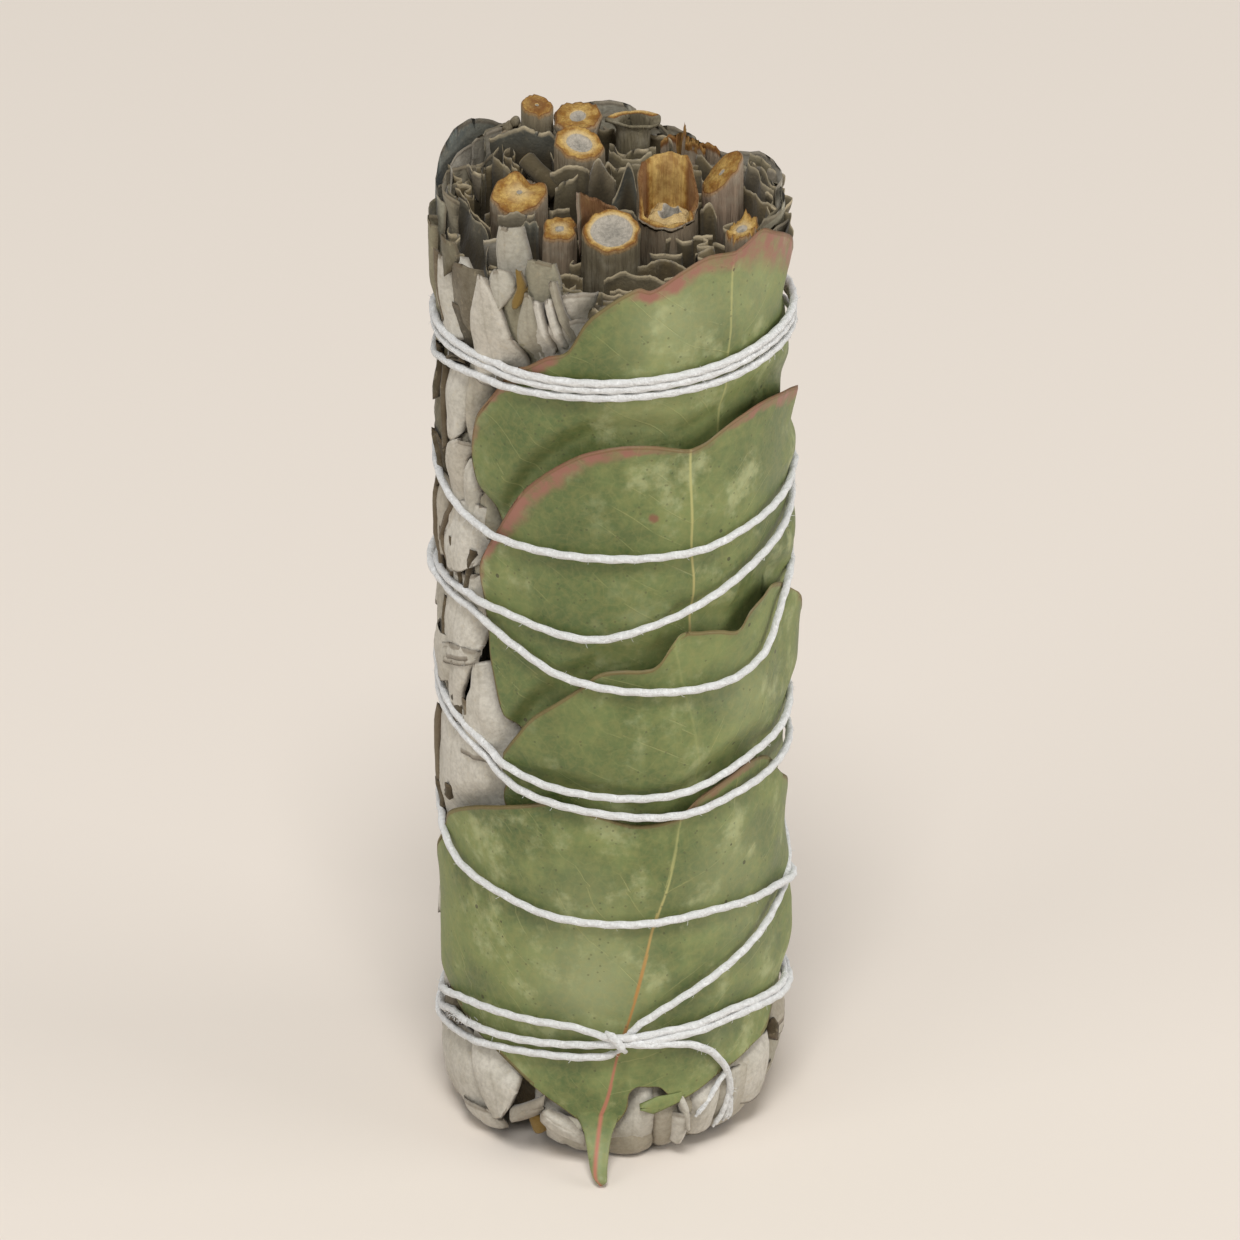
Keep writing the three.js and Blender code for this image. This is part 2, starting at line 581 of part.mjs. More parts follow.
/** The broad leaf at the back left, narrower towards its hidden end, its upper edge a low arch. */
function broadLeaf() {
  const { left, right, low, high, radius, sideDrop } = BROAD_LEAF;
  const face = (inner) => grid(8, 3, (u, v) => {
    const across = 2 * u - 1;
    const half = ((right - left) / 2) * mix(0.5, 1, Math.sin((v * Math.PI) / 2));
    const height = mix(low, high - sideDrop * across * across, v);
    return around((left + right) / 2 + across * half, inner ? CORE_RADIUS - 0.5 : radius, height);
  });
  return slab(face(false), face(true));
}

/** The stretches of the outside that belong to a cell, as [first angle, last angle]. */
function outerStretches(number) {
  const stretches = [];
  const step = 1;
  for (let angle = -180; angle < 180; angle += step) {
    const point = around(angle, CORE_RADIUS, 0);
    if (sprigAt(point.x, point.y) === number) {
      const last = stretches[stretches.length - 1];
      if (last && last[1] === angle - step) last[1] = angle;
      else stretches.push([angle, angle]);
    }
  }
  if (stretches.length > 1 && stretches[0][0] === -180) {
    const wrapped = stretches.pop();
    if (wrapped[1] === 179) stretches[0][0] = wrapped[0] - 360;
    else stretches.push(wrapped);
  }
  return stretches.filter(([first, last]) => last - first > 5);
}

/** The folded leaves round the outside of one sprig, in columns like tiles. */
function sideLeaves(number, coreTop) {
  const leaves = [];
  outerStretches(number).forEach(([first, last], stretch) => {
    const arc = (last - first) * RADIANS * BUNCH_RADIUS;
    const columns = Math.max(1, Math.round(arc / SAGE_LEAF_WIDTH));
    const width = arc / columns + SAGE_LEAF_OVERLAP;
    for (let column = 0; column < columns; column += 1) {
      const angle = mix(first, last, (column + 0.5) / columns);
      const rim = around(angle, CORE_RADIUS, 0);
      const top = topAt(rim.x, rim.y);
      const offset = ((number + column + stretch) % 2) * SAGE_ROW_PITCH / 2;
      const rows = Math.ceil(top / SAGE_ROW_PITCH) + 1;
      for (let row = offset > 0 ? -1 : 0; row < rows; row += 1) {
        const seed = number * 31.7 + stretch * 11.3 + column * 5.9 + row * 1.31;
        const lowest = between(0.3, 1.6, seed);
        const tip = Math.max(lowest, offset + row * SAGE_ROW_PITCH + between(-2, 2, seed));
        const isTop = tip + SAGE_ROW_PITCH > top - CORE_DROP - 1;
        const end = isTop ? top + between(-2, 1, seed + 0.7) : tip + SAGE_LEAF_LENGTH;
        const hidden = [0.15, 0.5, 0.9].every((t) => (
          depthInside(angle, mix(tip, end, t)) > HIDDEN_DEPTH));
        if (!hidden) leaves.push(sideLeaf(angle, tip, end, width, coreTop, seed));
        if (isTop) break;
      }
    }
  });
  return leaves;
}

/** A thin upright sheet that follows a path in plan, its upper edge uneven. */
function uprightSheet(pathAt, steps, low, high, seed) {
  const half = SHEET_THICKNESS / 2;
  const face = (side) => grid(steps, 1, (u, v, i) => {
    const here = pathAt(u);
    const ahead = pathAt(u + 0.01);
    const run = new THREE.Vector2(ahead[0] - here[0], ahead[1] - here[1]).normalize();
    const lift = v > 0 ? between(-0.7, 0.7, seed + i * 0.77) : 0;
    return new THREE.Vector3(
      here[0] + side * half * run.y,
      here[1] - side * half * run.x,
      mix(low, high, v) + lift,
    );
  });
  return slab(face(1), face(-1));
}

/** A rolled or folded leaf end that stands up out of the packed leaves. */
function curl(x, y, low, high, seed) {
  const turn = between(0, 2 * Math.PI, seed);
  const radius = CURL_RADIUS * between(0.8, 1.25, seed + 1);
  const kind = draw(seed + 2);
  const opening = between(2.6, 4.4, seed + 3);
  const rolled = (t) => {
    const phi = turn + opening * (t - 0.5);
    const size = radius * (1 + 0.35 * (t - 0.5));
    return [x + size * Math.cos(phi), y + size * Math.sin(phi)];
  };
  const waved = (t) => {
    const along = (t - 0.5) * 3.4 * radius;
    const aside = 0.55 * radius * Math.sin((t - 0.5) * 2 * Math.PI);
    return [x + along * Math.cos(turn) - aside * Math.sin(turn),
      y + along * Math.sin(turn) + aside * Math.cos(turn)];
  };
  return uprightSheet(kind < ROLLED_SHARE ? rolled : waved, 5, low, high, seed + 4);
}

/** The rolled leaf ends of one sprig, on a jittered triangular net clear of the cut stems. */
function curls(number, coreTop) {
  const ends = [];
  const rows = Math.ceil(CORE_RADIUS / CURL_SPACING) + 1;
  for (let i = -rows; i <= rows; i += 1) {
    for (let j = -rows; j <= rows; j += 1) {
      const seed = i * 17.3 + j * 3.1 + 400;
      const x = (i + (j % 2) / 2) * CURL_SPACING + between(-0.7, 0.7, seed);
      const y = j * CURL_SPACING * 0.87 + between(-0.7, 0.7, seed + 5);
      const nearStem = STEMS.some((stem) => Math.hypot(stem.x - x, stem.y - y) < stem.radius + 0.7);
      if (Math.hypot(x, y) < CORE_RADIUS - 0.4 && !nearStem && sprigAt(x, y) === number) {
        const high = topAt(x, y) + between(-2.6, 1.2, seed + 7);
        ends.push(curl(x, y, coreTop - CURL_ROOT, high, seed + 9));
      }
    }
  }
  return ends;
}

/** One leafy sprig: packed leaves, folded leaves outside, rolled ends on top, holes for the stems. */
function sprigSolid(number, holes, coverings) {
  const sprig = SPRIGS[number];
  const coreTop = topAt(sprig.x, sprig.y) - CORE_DROP;
  const body = packedBody(coreTop);
  const leafy = join([body, broadLeaf(), ...sideLeaves(number, coreTop), ...curls(number, coreTop)]);
  const cell = prism(cellPlan(number), 0, TOP_HEIGHT + 10);
  const cut = [...holes, ...coverings].reduce((left, away) => left.subtract(away), leafy.intersect(cell));
  return mainBody(cut);
}

// ---- Stems --------------------------------------------------------------------------------------

/** A cut stem with its pith sunk in, its cut sloped and if broken ragged. */
function roundStem(stem, number) {
  const { radius, pith, slope, ragged = 0, bore = PITH_DEPTH, sides = STEM_SIDES } = stem;
  const length = stem.top - STEM_FOOT;
  const profile = [[0, 0], [radius, 0], [radius, length - CUT_BEVEL], [radius - CUT_BEVEL, length],
    [pith, length - 0.1], [pith * 0.85, length - bore], [0, length - bore]];
  const outline = profile.map(([r, z]) => new THREE.Vector2(r, z));
  const geometry = new THREE.LatheGeometry(outline, sides).rotateX(Math.PI / 2);
  const position = geometry.getAttribute('position');
  for (let k = 0; k < position.count; k += 1) {
    const [x, y, z] = [position.getX(k), position.getY(k), position.getZ(k)];
    if (z > length - bore - 0.5 && z > 1) {
      const side = Math.round((Math.atan2(y, x) / (2 * Math.PI)) * sides + sides) % sides;
      const torn = Math.hypot(x, y) > pith * 0.9 ? ragged * between(-1, 1, number * 7.1 + side) : 0;
      position.setZ(k, z + slope[0] * x + slope[1] * y + torn);
    }
  }
  return solidOf(geometry.translate(stem.x, stem.y, STEM_FOOT));
}

/** A split stem: a trough that opens towards the front and flares at its cut end. */
function troughStem(stem) {
  const wrap = stem.trough * RADIANS;
  const face = (thick) => grid(8, 2, (u, v, i, j) => {
    const phi = Math.PI / 2 + wrap * (u - 0.5);
    const size = stem.radius + (j === 2 ? TROUGH_FLARE : 0) - thick;
    const cut = stem.top - 1.2 * (2 * u - 1) ** 2;
    const height = [STEM_FOOT, stem.top - 3.5, cut][j];
    return new THREE.Vector3(stem.x + size * Math.cos(phi), stem.y + size * Math.sin(phi), height);
  });
  return slab(face(0), face(SHEET_THICKNESS));
}

/** Small round buds fused round the end of a thin stalk. */
function budsOn(stem) {
  return Array.from({ length: stem.buds }, (_, k) => {
    const turn = (k / stem.buds) * 2 * Math.PI;
    const bud = new THREE.IcosahedronGeometry(BUD_RADIUS, 0).scale(1, 1, 1.2);
    bud.translate(stem.x + 0.7 * Math.cos(turn), stem.y + 0.7 * Math.sin(turn), stem.top - 0.7 * k);
    return solidOf(bud);
  });
}

function stemSolid(stem, number) {
  if (stem.trough) return troughStem(stem);
  const stalk = roundStem(stem, number);
  return stem.buds ? join([stalk, ...budsOn(stem)]) : stalk;
}

/** The plain hole that a stem stands in. */
function stemHole(stem) {
  const reach = stem.radius + (stem.buds ? 1 : 0) + (stem.trough ? TROUGH_FLARE : 0) + GAP;
  const radius = reach / Math.cos(Math.PI / HOLE_SIDES);
  const hole = new THREE.CylinderGeometry(radius, radius, HOLE_LENGTH, HOLE_SIDES);
  hole.rotateX(Math.PI / 2).translate(stem.x, stem.y, STEM_FOOT - GAP + HOLE_LENGTH / 2);
  return solidOf(hole);
}

// ---- Twine --------------------------------------------------------------------------------------

const ROUTE = TURNS.flatMap((turn, number) => (
  turn.map(([angle, height]) => ({ turn: angle + 360 * number, height }))));

/** Height of the twine at a running angle: a smooth line that never overshoots its points. */
function twineHeight(turn) {
  const last = ROUTE.length - 1;
  let k = 1;
  while (k < last && ROUTE[k].turn < turn) k += 1;
  const [a, b] = [ROUTE[k - 1], ROUTE[k]];
  const pitch = (i) => (ROUTE[i].height - ROUTE[i - 1].height) / (ROUTE[i].turn - ROUTE[i - 1].turn);
  const grade = (i) => {
    if (i < 1 || i >= last) return 0;
    const [before, after] = [pitch(i), pitch(i + 1)];
    return before * after > 0 ? (2 * before * after) / (before + after) : 0;
  };
  const span = b.turn - a.turn;
  const t = Math.min(1, Math.max(0, (turn - a.turn) / span));
  const [ga, gb] = [grade(k - 1) * span, grade(k) * span];
  return (2 * t ** 3 - 3 * t ** 2 + 1) * a.height + (t ** 3 - 2 * t ** 2 + t) * ga
    + (3 * t ** 2 - 2 * t ** 3) * b.height + (t ** 3 - t ** 2) * gb;
}

/** Radius of the twine where nothing else of it lies below. */
function restRadius(angle, height) {
  const front = ((angle + 180) % 360 + 360) % 360 - 180;
  const base = mix(TWINE_ON_SAGE, TWINE_ON_LEAF, ramp(-2.6, -0.6, depthInside(front, height)));
  return base - BUNCH_RADIUS + bunchRadius(height);
}

/** Points of the wound twine: each strand rides over the earlier ones that it crosses. */
function twinePoints() {
  const first = ROUTE[0].turn;
  const count = Math.floor((ROUTE[ROUTE.length - 1].turn - first) / TWINE_SAMPLE);
  const perTurn = 360 / TWINE_SAMPLE;
  const reach = Math.ceil(TWINE_CLIMB / TWINE_SAMPLE);
  const turns = Array.from({ length: count + 1 }, (_, k) => first + k * TWINE_SAMPLE);
  const heights = turns.map(twineHeight);
  const lifted = turns.map((turn, k) => restRadius(turn, heights[k]));
  for (let k = 0; k <= count; k += 1) {
    for (let under = k - perTurn; under >= 0; under -= perTurn) {
      const apart = Math.abs(heights[k] - heights[under]);
      if (apart < TWINE_PILE) {
        const over = lifted[under] + Math.sqrt(TWINE_PILE ** 2 - apart ** 2);
        for (let near = Math.max(0, k - reach); near <= Math.min(count, k + reach); near += 1) {
          if (near > k - perTurn) lifted[near] = Math.max(lifted[near], over);
        }
      }
    }
  }
  return turns.map((turn, k) => {
    const near = lifted.slice(Math.max(0, k - 2), k + 3);
    const radius = near.reduce((sum, value) => sum + value, 0) / near.length;
    return around(turn, radius, heights[k]);
  });
}

/** A round tube of the twine through points. */
function twineTube(points, length) {
  const section = new THREE.Shape(Array.from({ length: TWINE_SIDES }, (_, s) => {
    const turn = (s / TWINE_SIDES) * 2 * Math.PI;
    return new THREE.Vector2(TWINE_RADIUS * Math.cos(turn), TWINE_RADIUS * Math.sin(turn));
  }));
  const path = new THREE.CatmullRomCurve3(points);
  path.arcLengthDivisions = points.length * 4;
  const steps = Math.round(path.getLength() / length);
  return solidOf(new THREE.ExtrudeGeometry(section, { steps, extrudePath: path, bevelEnabled: false }));
}

/** The loose end, which comes down from over the other strands onto the leaves. */
function tailPoints() {
  return TAIL.map(([angle, height], k) => (
    around(angle, restRadius(angle, height) + TAIL_LIFT * ramp(4, 0, k), height)));
}

/** The knot as one small lump that holds the wound twine and its loose end. */
function knotSolid() {
  const place = around(KNOT.angle, KNOT.radius, KNOT.height);
  const lump = new THREE.IcosahedronGeometry(1, 1).scale(...KNOT.size);
  return solidOf(lump.rotateZ(KNOT.angle * RADIANS).translate(place.x, place.y, place.z));
}

function twineSolid() {
  return join([
    twineTube(twinePoints(), TWINE_STEP),
    twineTube(tailPoints(), TAIL_STEP),
    knotSolid(),
  ]);
}

// ---- Assembly -----------------------------------------------------------------------------------

/** The two-digit label of a numbered piece, counted from 01. */
function label(number) {
  return String(number + 1).padStart(2, '0');
}

/** The room that a eucalyptus leaf needs, clear of the sage under it and round its edge. */
function leafRoom(number) {
  return leafSolid(number, LEAF_THICKNESS / 2 + LEAF_CLEARANCE, LEAF_ROOM, LEAF_CLEARANCE);
}

/** A eucalyptus leaf; the lowest one keeps its stalk. */
function eucalyptusSolid(number) {
  const half = LEAF_THICKNESS / 2;
  const blade = leafSolid(number, half, half, 0);
  return number === LEAVES.length - 1 ? join([blade, stalkSolid()]) : blade;
}

function sageBunch() {
  const bunch = new THREE.Group();
  const holes = STEMS.map(stemHole);
  const coverings = LEAVES.map((_, k) => leafRoom(k));
  SPRIGS.forEach((_, k) => {
    const solid = sprigSolid(k, holes, coverings);
    bunch.add(meshOf(`sage_sprig_${label(k)}_leaves`, solid, FINISHES.sage));
  });
  STEMS.forEach((stem, k) => {
    bunch.add(meshOf(`sage_stem_${label(k)}`, stemSolid(stem, k), FINISHES.stem));
  });
  LEAVES.forEach((leaf, k) => {
    bunch.add(meshOf(leaf.name, eucalyptusSolid(k), FINISHES.eucalyptus));
  });
  bunch.add(meshOf('twine', twineSolid(), FINISHES.twine));
  return bunch;
}

const group = sageBunch();

export default group;
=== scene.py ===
# %% [markdown]
# # A sage bunch tied with cotton twine
# The bunch stands on its leaf ends. Sixteen leafy sage sprigs are packed side by side, their stems
# are cut at the top, four round eucalyptus leaves lie over the front like tiles, and one cotton
# twine is wound over all of it. The packed model holds the plain solids at their real size. This
# lesson dresses each of them with a finer piece in the same place.

# %% Load the packed model
import math

import bmesh
import bpy
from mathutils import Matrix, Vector, noise


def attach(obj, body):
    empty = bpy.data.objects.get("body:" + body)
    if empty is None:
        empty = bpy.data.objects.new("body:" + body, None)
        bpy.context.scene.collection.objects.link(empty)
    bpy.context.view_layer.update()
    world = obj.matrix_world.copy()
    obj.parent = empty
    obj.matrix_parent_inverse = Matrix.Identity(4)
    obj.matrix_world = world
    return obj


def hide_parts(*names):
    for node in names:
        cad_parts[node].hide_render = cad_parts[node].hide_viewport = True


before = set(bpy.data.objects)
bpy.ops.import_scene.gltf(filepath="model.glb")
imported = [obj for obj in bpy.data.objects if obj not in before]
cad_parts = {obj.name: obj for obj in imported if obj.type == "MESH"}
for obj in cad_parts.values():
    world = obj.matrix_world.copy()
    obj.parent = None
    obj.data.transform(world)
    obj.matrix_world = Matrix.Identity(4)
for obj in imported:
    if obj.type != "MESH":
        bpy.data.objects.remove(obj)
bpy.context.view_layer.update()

MM = 0.001

# %% [markdown]
# ## The camera
# A long lens from far away keeps the sides of the bunch nearly parallel, and a camera that looks
# down by 27 degrees shows the cut stems on top. It comes first, so that every later step can be
# judged through it.

# %% Camera
CAMERA_TILT = math.radians(27)
CAMERA_DISTANCE = 0.9
CAMERA_AIM = Vector((0.00083, 0.0, 0.05528))
LENS = 250.8


def add_object(name, data):
    thing = bpy.data.objects.new(name, data)
    bpy.context.scene.collection.objects.link(thing)
    return thing


lens = bpy.data.cameras.new("camera")
lens.lens = LENS
lens.sensor_width = 36
lens.clip_end = 20
camera = add_object("camera", lens)
away = Vector((0, -math.cos(CAMERA_TILT), math.sin(CAMERA_TILT)))
camera.location = CAMERA_AIM + away * CAMERA_DISTANCE
camera.rotation_euler = (math.pi / 2 - CAMERA_TILT, 0, 0)
bpy.context.scene.camera = camera
print("camera at", [round(part, 3) for part in camera.location])

# %% [markdown]
# ## Numbers that every step shares
# The solids were laid out with a few driving sizes and a small repeatable draw. The same ones are
# named here, so that the finer leaves fall where the plain ones stand. Lengths are in millimetres
# until a mesh is finished, and angles go round the bunch in degrees: 0 is the front, 90 is +X.

# %% Shared sizes and helpers
CORE_RADIUS = 15.2
FOOT_RADIUS = 13.4
FOOT_HEIGHT = 9
TOP_HEIGHT = 101.5
TOP_SLOPE = 0.22
BACK_DROP = 2.6           # the cut is lower at the back right


def draw(seed):
    """A repeatable draw between 0 and 1 for each seed."""
    wave = math.sin(seed * 127.1 + 311.7) * 43758.5453
    return wave - math.floor(wave)


def between(low, high, seed):
    return low + (high - low) * draw(seed)


def mix(a, b, t):
    return a + (b - a) * t


def clamp(value, low=0.0, high=1.0):
    return max(low, min(high, value))


def ramp(start, end, value):
    """A smooth step from 0 at start to 1 at end."""
    t = clamp((value - start) / (end - start))
    return t * t * (3 - 2 * t)


def around(angle, radius, height):
    turn = math.radians(angle)
    return Vector((radius * math.sin(turn), -radius * math.cos(turn), height))


def top_at(x, y):
    """Height of the cut leaf ends above a point of the foot."""
    return TOP_HEIGHT + TOP_SLOPE * y - BACK_DROP * ramp(2, 8, x) * ramp(4, 12, y)


def ripple(x, y, seed, size):
    """Soft noise from -1 to 1 with waves of a given size in millimetres."""
    return noise.noise(Vector((x / size, y / size, seed * 7.31)))


def value_on(points, place):
    """Linear interpolation in a list of [place, value], level beyond its ends."""
    if place <= points[0][0]:
        return points[0][1]
    for (a, low), (b, high) in zip(points, points[1:]):
        if place <= b:
            return mix(low, high, (place - a) / (b - a))
    return points[-1][1]


print("leaf ends at", round(top_at(0, -17), 1), "mm in front and", round(top_at(0, 17), 1), "mm behind")

# %% [markdown]
# ## From a flat grid to a leaf
# A leaf is a thin sheet. `create_grid` makes a flat net of faces, each of its points is laid where
# the leaf's own rule says, and `solidify` gives the sheet its thickness. Two attributes travel with
# the points for the materials to read: `laid` holds the place on the leaf in millimetres, and
# `look` holds the distance to the rim and two numbers of the material's own, such as a tone.

# %% Sheets and finished pieces
def new_bmesh():
    bm = bmesh.new()
    for name in ("laid", "look"):
        bm.verts.layers.float_vector.new(name)
    return bm


def layers_of(bm):
    """The layers laid and look of a bmesh."""
    return [bm.verts.layers.float_vector[name] for name in ("laid", "look")]


def add_sheet(bm, columns, rows, place, thickness):
    """Lays a grid by place(u, v), which gives a point, its laid and its look, and thickens it."""
    laid, look = layers_of(bm)
    made = bmesh.ops.create_grid(bm, x_segments=columns, y_segments=rows, size=0.5)
    for vert in made["verts"]:
        vert.co, vert[laid], vert[look] = place(vert.co.x + 0.5, vert.co.y + 0.5)
    faces = dict.fromkeys(face for vert in made["verts"] for face in vert.link_faces)
    bmesh.ops.solidify(bm, geom=list(faces), thickness=thickness)


def mesh_from(bm, name, material):
    mesh = bpy.data.meshes.new(name)
    bm.to_mesh(mesh)
    bm.free()
    mesh.materials.append(material)
    return mesh


def finish_piece(bm, name, material, node=None):
    """Turns a bmesh in millimetres into a smooth object in metres that rides on the bunch."""
    bmesh.ops.recalc_face_normals(bm, faces=bm.faces)
    bmesh.ops.scale(bm, vec=(MM, MM, MM), verts=bm.verts)
    for face in bm.faces:
        face.smooth = True
    piece = add_object(name, mesh_from(bm, name, material))
    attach(piece, "root")
    if node:
        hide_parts(node)
    print(name, len(piece.data.polygons), "faces")


print("helpers ready")

# %% [markdown]
# ## Floor and light
# The bunch stands on a plain cream floor. A large soft light hangs high in front, so that its shadow
# hides behind the bunch. A second one stands low at the right: it brightens the right side and
# leaves a long faint shadow to the left. A weaker one at the left and a weak sky fill the rest.

# %% Floor and lights
FLOOR_SIDE = 6.0
FLOOR_COLOUR = (0.80, 0.725, 0.645, 1)
SKY_COLOUR = (1.0, 0.99, 0.97, 1)
SKY_STRENGTH = 0.36
LIGHTS = [
    {"name": "front", "place": (0.0, -1.3, 2.6), "side": 1.0, "watts": 50},
    {"name": "right", "place": (1.3, -0.3, 0.35), "side": 0.9, "watts": 8.5},
    {"name": "left", "place": (-1.2, -1.0, 0.6), "side": 1.0, "watts": 6},
]


def plain_material(name, colour, roughness):
    material = bpy.data.materials.new(name)
    material.use_nodes = True
    skin = material.node_tree.nodes["Principled BSDF"]
    skin.inputs["Base Color"].default_value = colour
    skin.inputs["Roughness"].default_value = roughness
    return material


def add_floor():
    bm = bmesh.new()
    bmesh.ops.create_grid(bm, x_segments=1, y_segments=1, size=FLOOR_SIDE / 2)
    add_object("floor", mesh_from(bm, "floor", plain_material("cream paper", FLOOR_COLOUR, 0.9)))


def add_light(name, place, side, watts):
    lamp = bpy.data.lights.new(name, "AREA")
    lamp.size = side
    lamp.energy = watts
    light = add_object(name, lamp)
    light.location = place
    light.rotation_euler = (Vector(place) - CAMERA_AIM).to_track_quat("Z", "Y").to_euler()


add_floor()
for light in LIGHTS:
    add_light(**light)
sky = bpy.data.worlds.new("sky")
sky.use_nodes = True
glow = sky.node_tree.nodes["Background"].inputs
glow["Color"].default_value = SKY_COLOUR
glow["Strength"].default_value = SKY_STRENGTH
bpy.context.scene.world = sky
bpy.context.scene.view_settings.view_transform = "Standard"
print("lights:", [light["name"] for light in LIGHTS])

# %% [markdown]
# ## Shared effects for the finishes
# Dried leaves, bark and cotton share a few effects: soft mottling, a fine grain that roughens the
# surface, and small specks. Each is a node group, built once, and every material sets its own
# values on it. The groups read the Object coordinates of the piece.

# %% Node helpers
def add_node(tree, kind, links=None, **settings):
    """Adds a node; settings are its properties, links feed its inputs by name or number."""
    node = tree.nodes.new(kind)
    for key, value in settings.items():
        setattr(node, key, value)
    for key, value in (links or {}).items():
        if isinstance(value, bpy.types.NodeSocket):
            tree.links.new(value, node.inputs[key])
        else:
            node.inputs[key].default_value = value
    return node


def maths(tree, operation, *values):
    return add_node(tree, "ShaderNodeMath", dict(enumerate(values)), operation=operation).outputs[0]


def map_range(tree, value, low, high, to_low=0, to_high=1):
    links = {"Value": value, "From Min": low, "From Max": high, "To Min": to_low, "To Max": to_high}
    return add_node(tree, "ShaderNodeMapRange", links, interpolation_type="SMOOTHSTEP").outputs[0]


def new_group(name, output, **inputs):
    """A group with a Place and named numbers at their usual values; gives its inputs and its end too."""
    group = bpy.data.node_groups.new(name, "ShaderNodeTree")
    group.interface.new_socket(name="Place", in_out="INPUT", socket_type="NodeSocketVector")
    for label, usual in inputs.items():
        item = group.interface.new_socket(name=label, in_out="INPUT", socket_type="NodeSocketFloat")
        item.default_value = usual
    group.interface.new_socket(name=output, in_out="OUTPUT", socket_type="NodeSocketFloat")
    start, end = group.nodes.new("NodeGroupInput"), group.nodes.new("NodeGroupOutput")
    return group, start.outputs, end.inputs[output]


print("node helpers ready")

# %% [markdown]
# ### Mottle, grain and specks
# **Mottle** is noise with its contrast set by two limits. **Grain** adds a coarse and a fine
# roughness into one height for a bump. **Specks** are the middles of scattered cells.

# %% The three groups
def make_mottle():
    group, given, mask = new_group("mottle", "Mask", Scale=200, Detail=3, Low=0.4, High=0.6)
    cloud = add_node(group, "ShaderNodeTexNoise", {"Vector": given["Place"], "Scale": given["Scale"],
                                                   "Detail": given["Detail"], "Roughness": 0.62})
    group.links.new(map_range(group, cloud.outputs["Fac"], given["Low"], given["High"]), mask)
    return group


def make_grain():
    group, given, height = new_group("grain", "Height", Fine=3000, Coarse=400, Share=0.5)
    fine, coarse = (add_node(group, "ShaderNodeTexNoise", {"Vector": given["Place"], "Scale": given[size],
                                                           "Detail": detail}).outputs["Fac"]
                    for size, detail in (("Fine", 3), ("Coarse", 2)))
    both = add_node(group, "ShaderNodeMix", {0: given["Share"], 2: coarse, 3: fine})
    group.links.new(both.outputs[0], height)
    return group


def make_specks():
    group, given, mask = new_group("specks", "Mask", Scale=500, Size=0.12, Share=0.4)
    links = {"Vector": given["Place"], "Scale": given["Scale"]}
    cells = add_node(group, "ShaderNodeTexVoronoi", links).outputs
    dot = maths(group, "LESS_THAN", cells["Distance"], given["Size"])
    chosen = maths(group, "LESS_THAN", cells["Color"], given["Share"])
    group.links.new(maths(group, "MULTIPLY", dot, chosen), mask)
    return group


MOTTLE, GRAIN, SPECKS = make_mottle(), make_grain(), make_specks()
print("groups:", MOTTLE.name, GRAIN.name, SPECKS.name)

# %% [markdown]
# ### A finish in layers
# A real surface is one colour over another: a ground, clouds, stains, a worn rim. So a finish
# starts with its ground colour, and each layer goes over what is there already, where a mask says
# and as strongly as a number says. Sheen and gloss are set on the shader itself.

# %% The layers of a finish
class Finish:
    """A material painted in layers from the ground colour up."""

    def __init__(self, name, ground, roughness):
        self.material = plain_material(name, ground, roughness)
        self.tree = self.material.node_tree
        self.skin = self.tree.nodes["Principled BSDF"].inputs
        self.colour = ground
        self.seat = self.node("ShaderNodeTexCoord")["Object"]

    def node(self, kind, links=None, **settings):
        return add_node(self.tree, kind, links, **settings).outputs

    def parts(self, name):
        """The three parts of laid or look."""
        value = self.node("ShaderNodeAttribute", attribute_name=name)["Vector"]
        return self.node("ShaderNodeSeparateXYZ", {0: value})

    def maths(self, operation, *values):
        return maths(self.tree, operation, *values)

    def times(self, *values):
        return self.maths("MULTIPLY", *values)

    def step(self, *limits):
        """A value, its two limits, and what they become; 0 and 1 unless given."""
        return map_range(self.tree, *limits)

    def line(self, value, width):
        """1 on a line where value is 0, fading to 0 at a width on both sides."""
        return self.step(self.maths("ABSOLUTE", value), 0, width, 1, 0)

    def group(self, group, links):
        return self.node("ShaderNodeGroup", {"Place": self.seat, **links}, node_tree=group)[0]

    def mottle(self, scale, detail, low, high, **place):
        return self.group(MOTTLE, {"Scale": scale, "Detail": detail, "Low": low, "High": high, **place})

    def grain(self, fine, coarse, share):
        return self.group(GRAIN, {"Fine": fine, "Coarse": coarse, "Share": share})

    def specks(self, scale, size, share):
        return self.group(SPECKS, {"Scale": scale, "Size": size, "Share": share})

    def mix(self, share, first, second):
        return self.node("ShaderNodeMix", {0: share, 6: first, 7: second}, data_type="RGBA")[2]

    def over(self, colour, mask, strength=1):
        """Lays a colour over the finish."""
        self.colour = self.mix(mask if strength == 1 else self.times(mask, strength), self.colour, colour)

    def done(self, height, strength, distance):
        """Joins the colour and a bump to the shader."""
        bump = self.node("ShaderNodeBump", {"Strength": strength, "Distance": distance, "Height": height})
        self.tree.links.new(self.colour, self.skin["Base Color"])
        self.tree.links.new(bump["Normal"], self.skin["Normal"])
        return self.material


print("layers:", [name for name in vars(Finish) if name[0] != "_"])

# %% [markdown]
# ## The route of the twine
# One cotton twine starts at the knot low on the front, climbs the bunch and comes down again in
# thirteen turns. The route comes before the leaves, because the leaves swell a little between the
# turns and are pressed in under them. Each turn is a row of [angle, height] in the front half, and
# a smooth line that never overshoots joins them round the back.

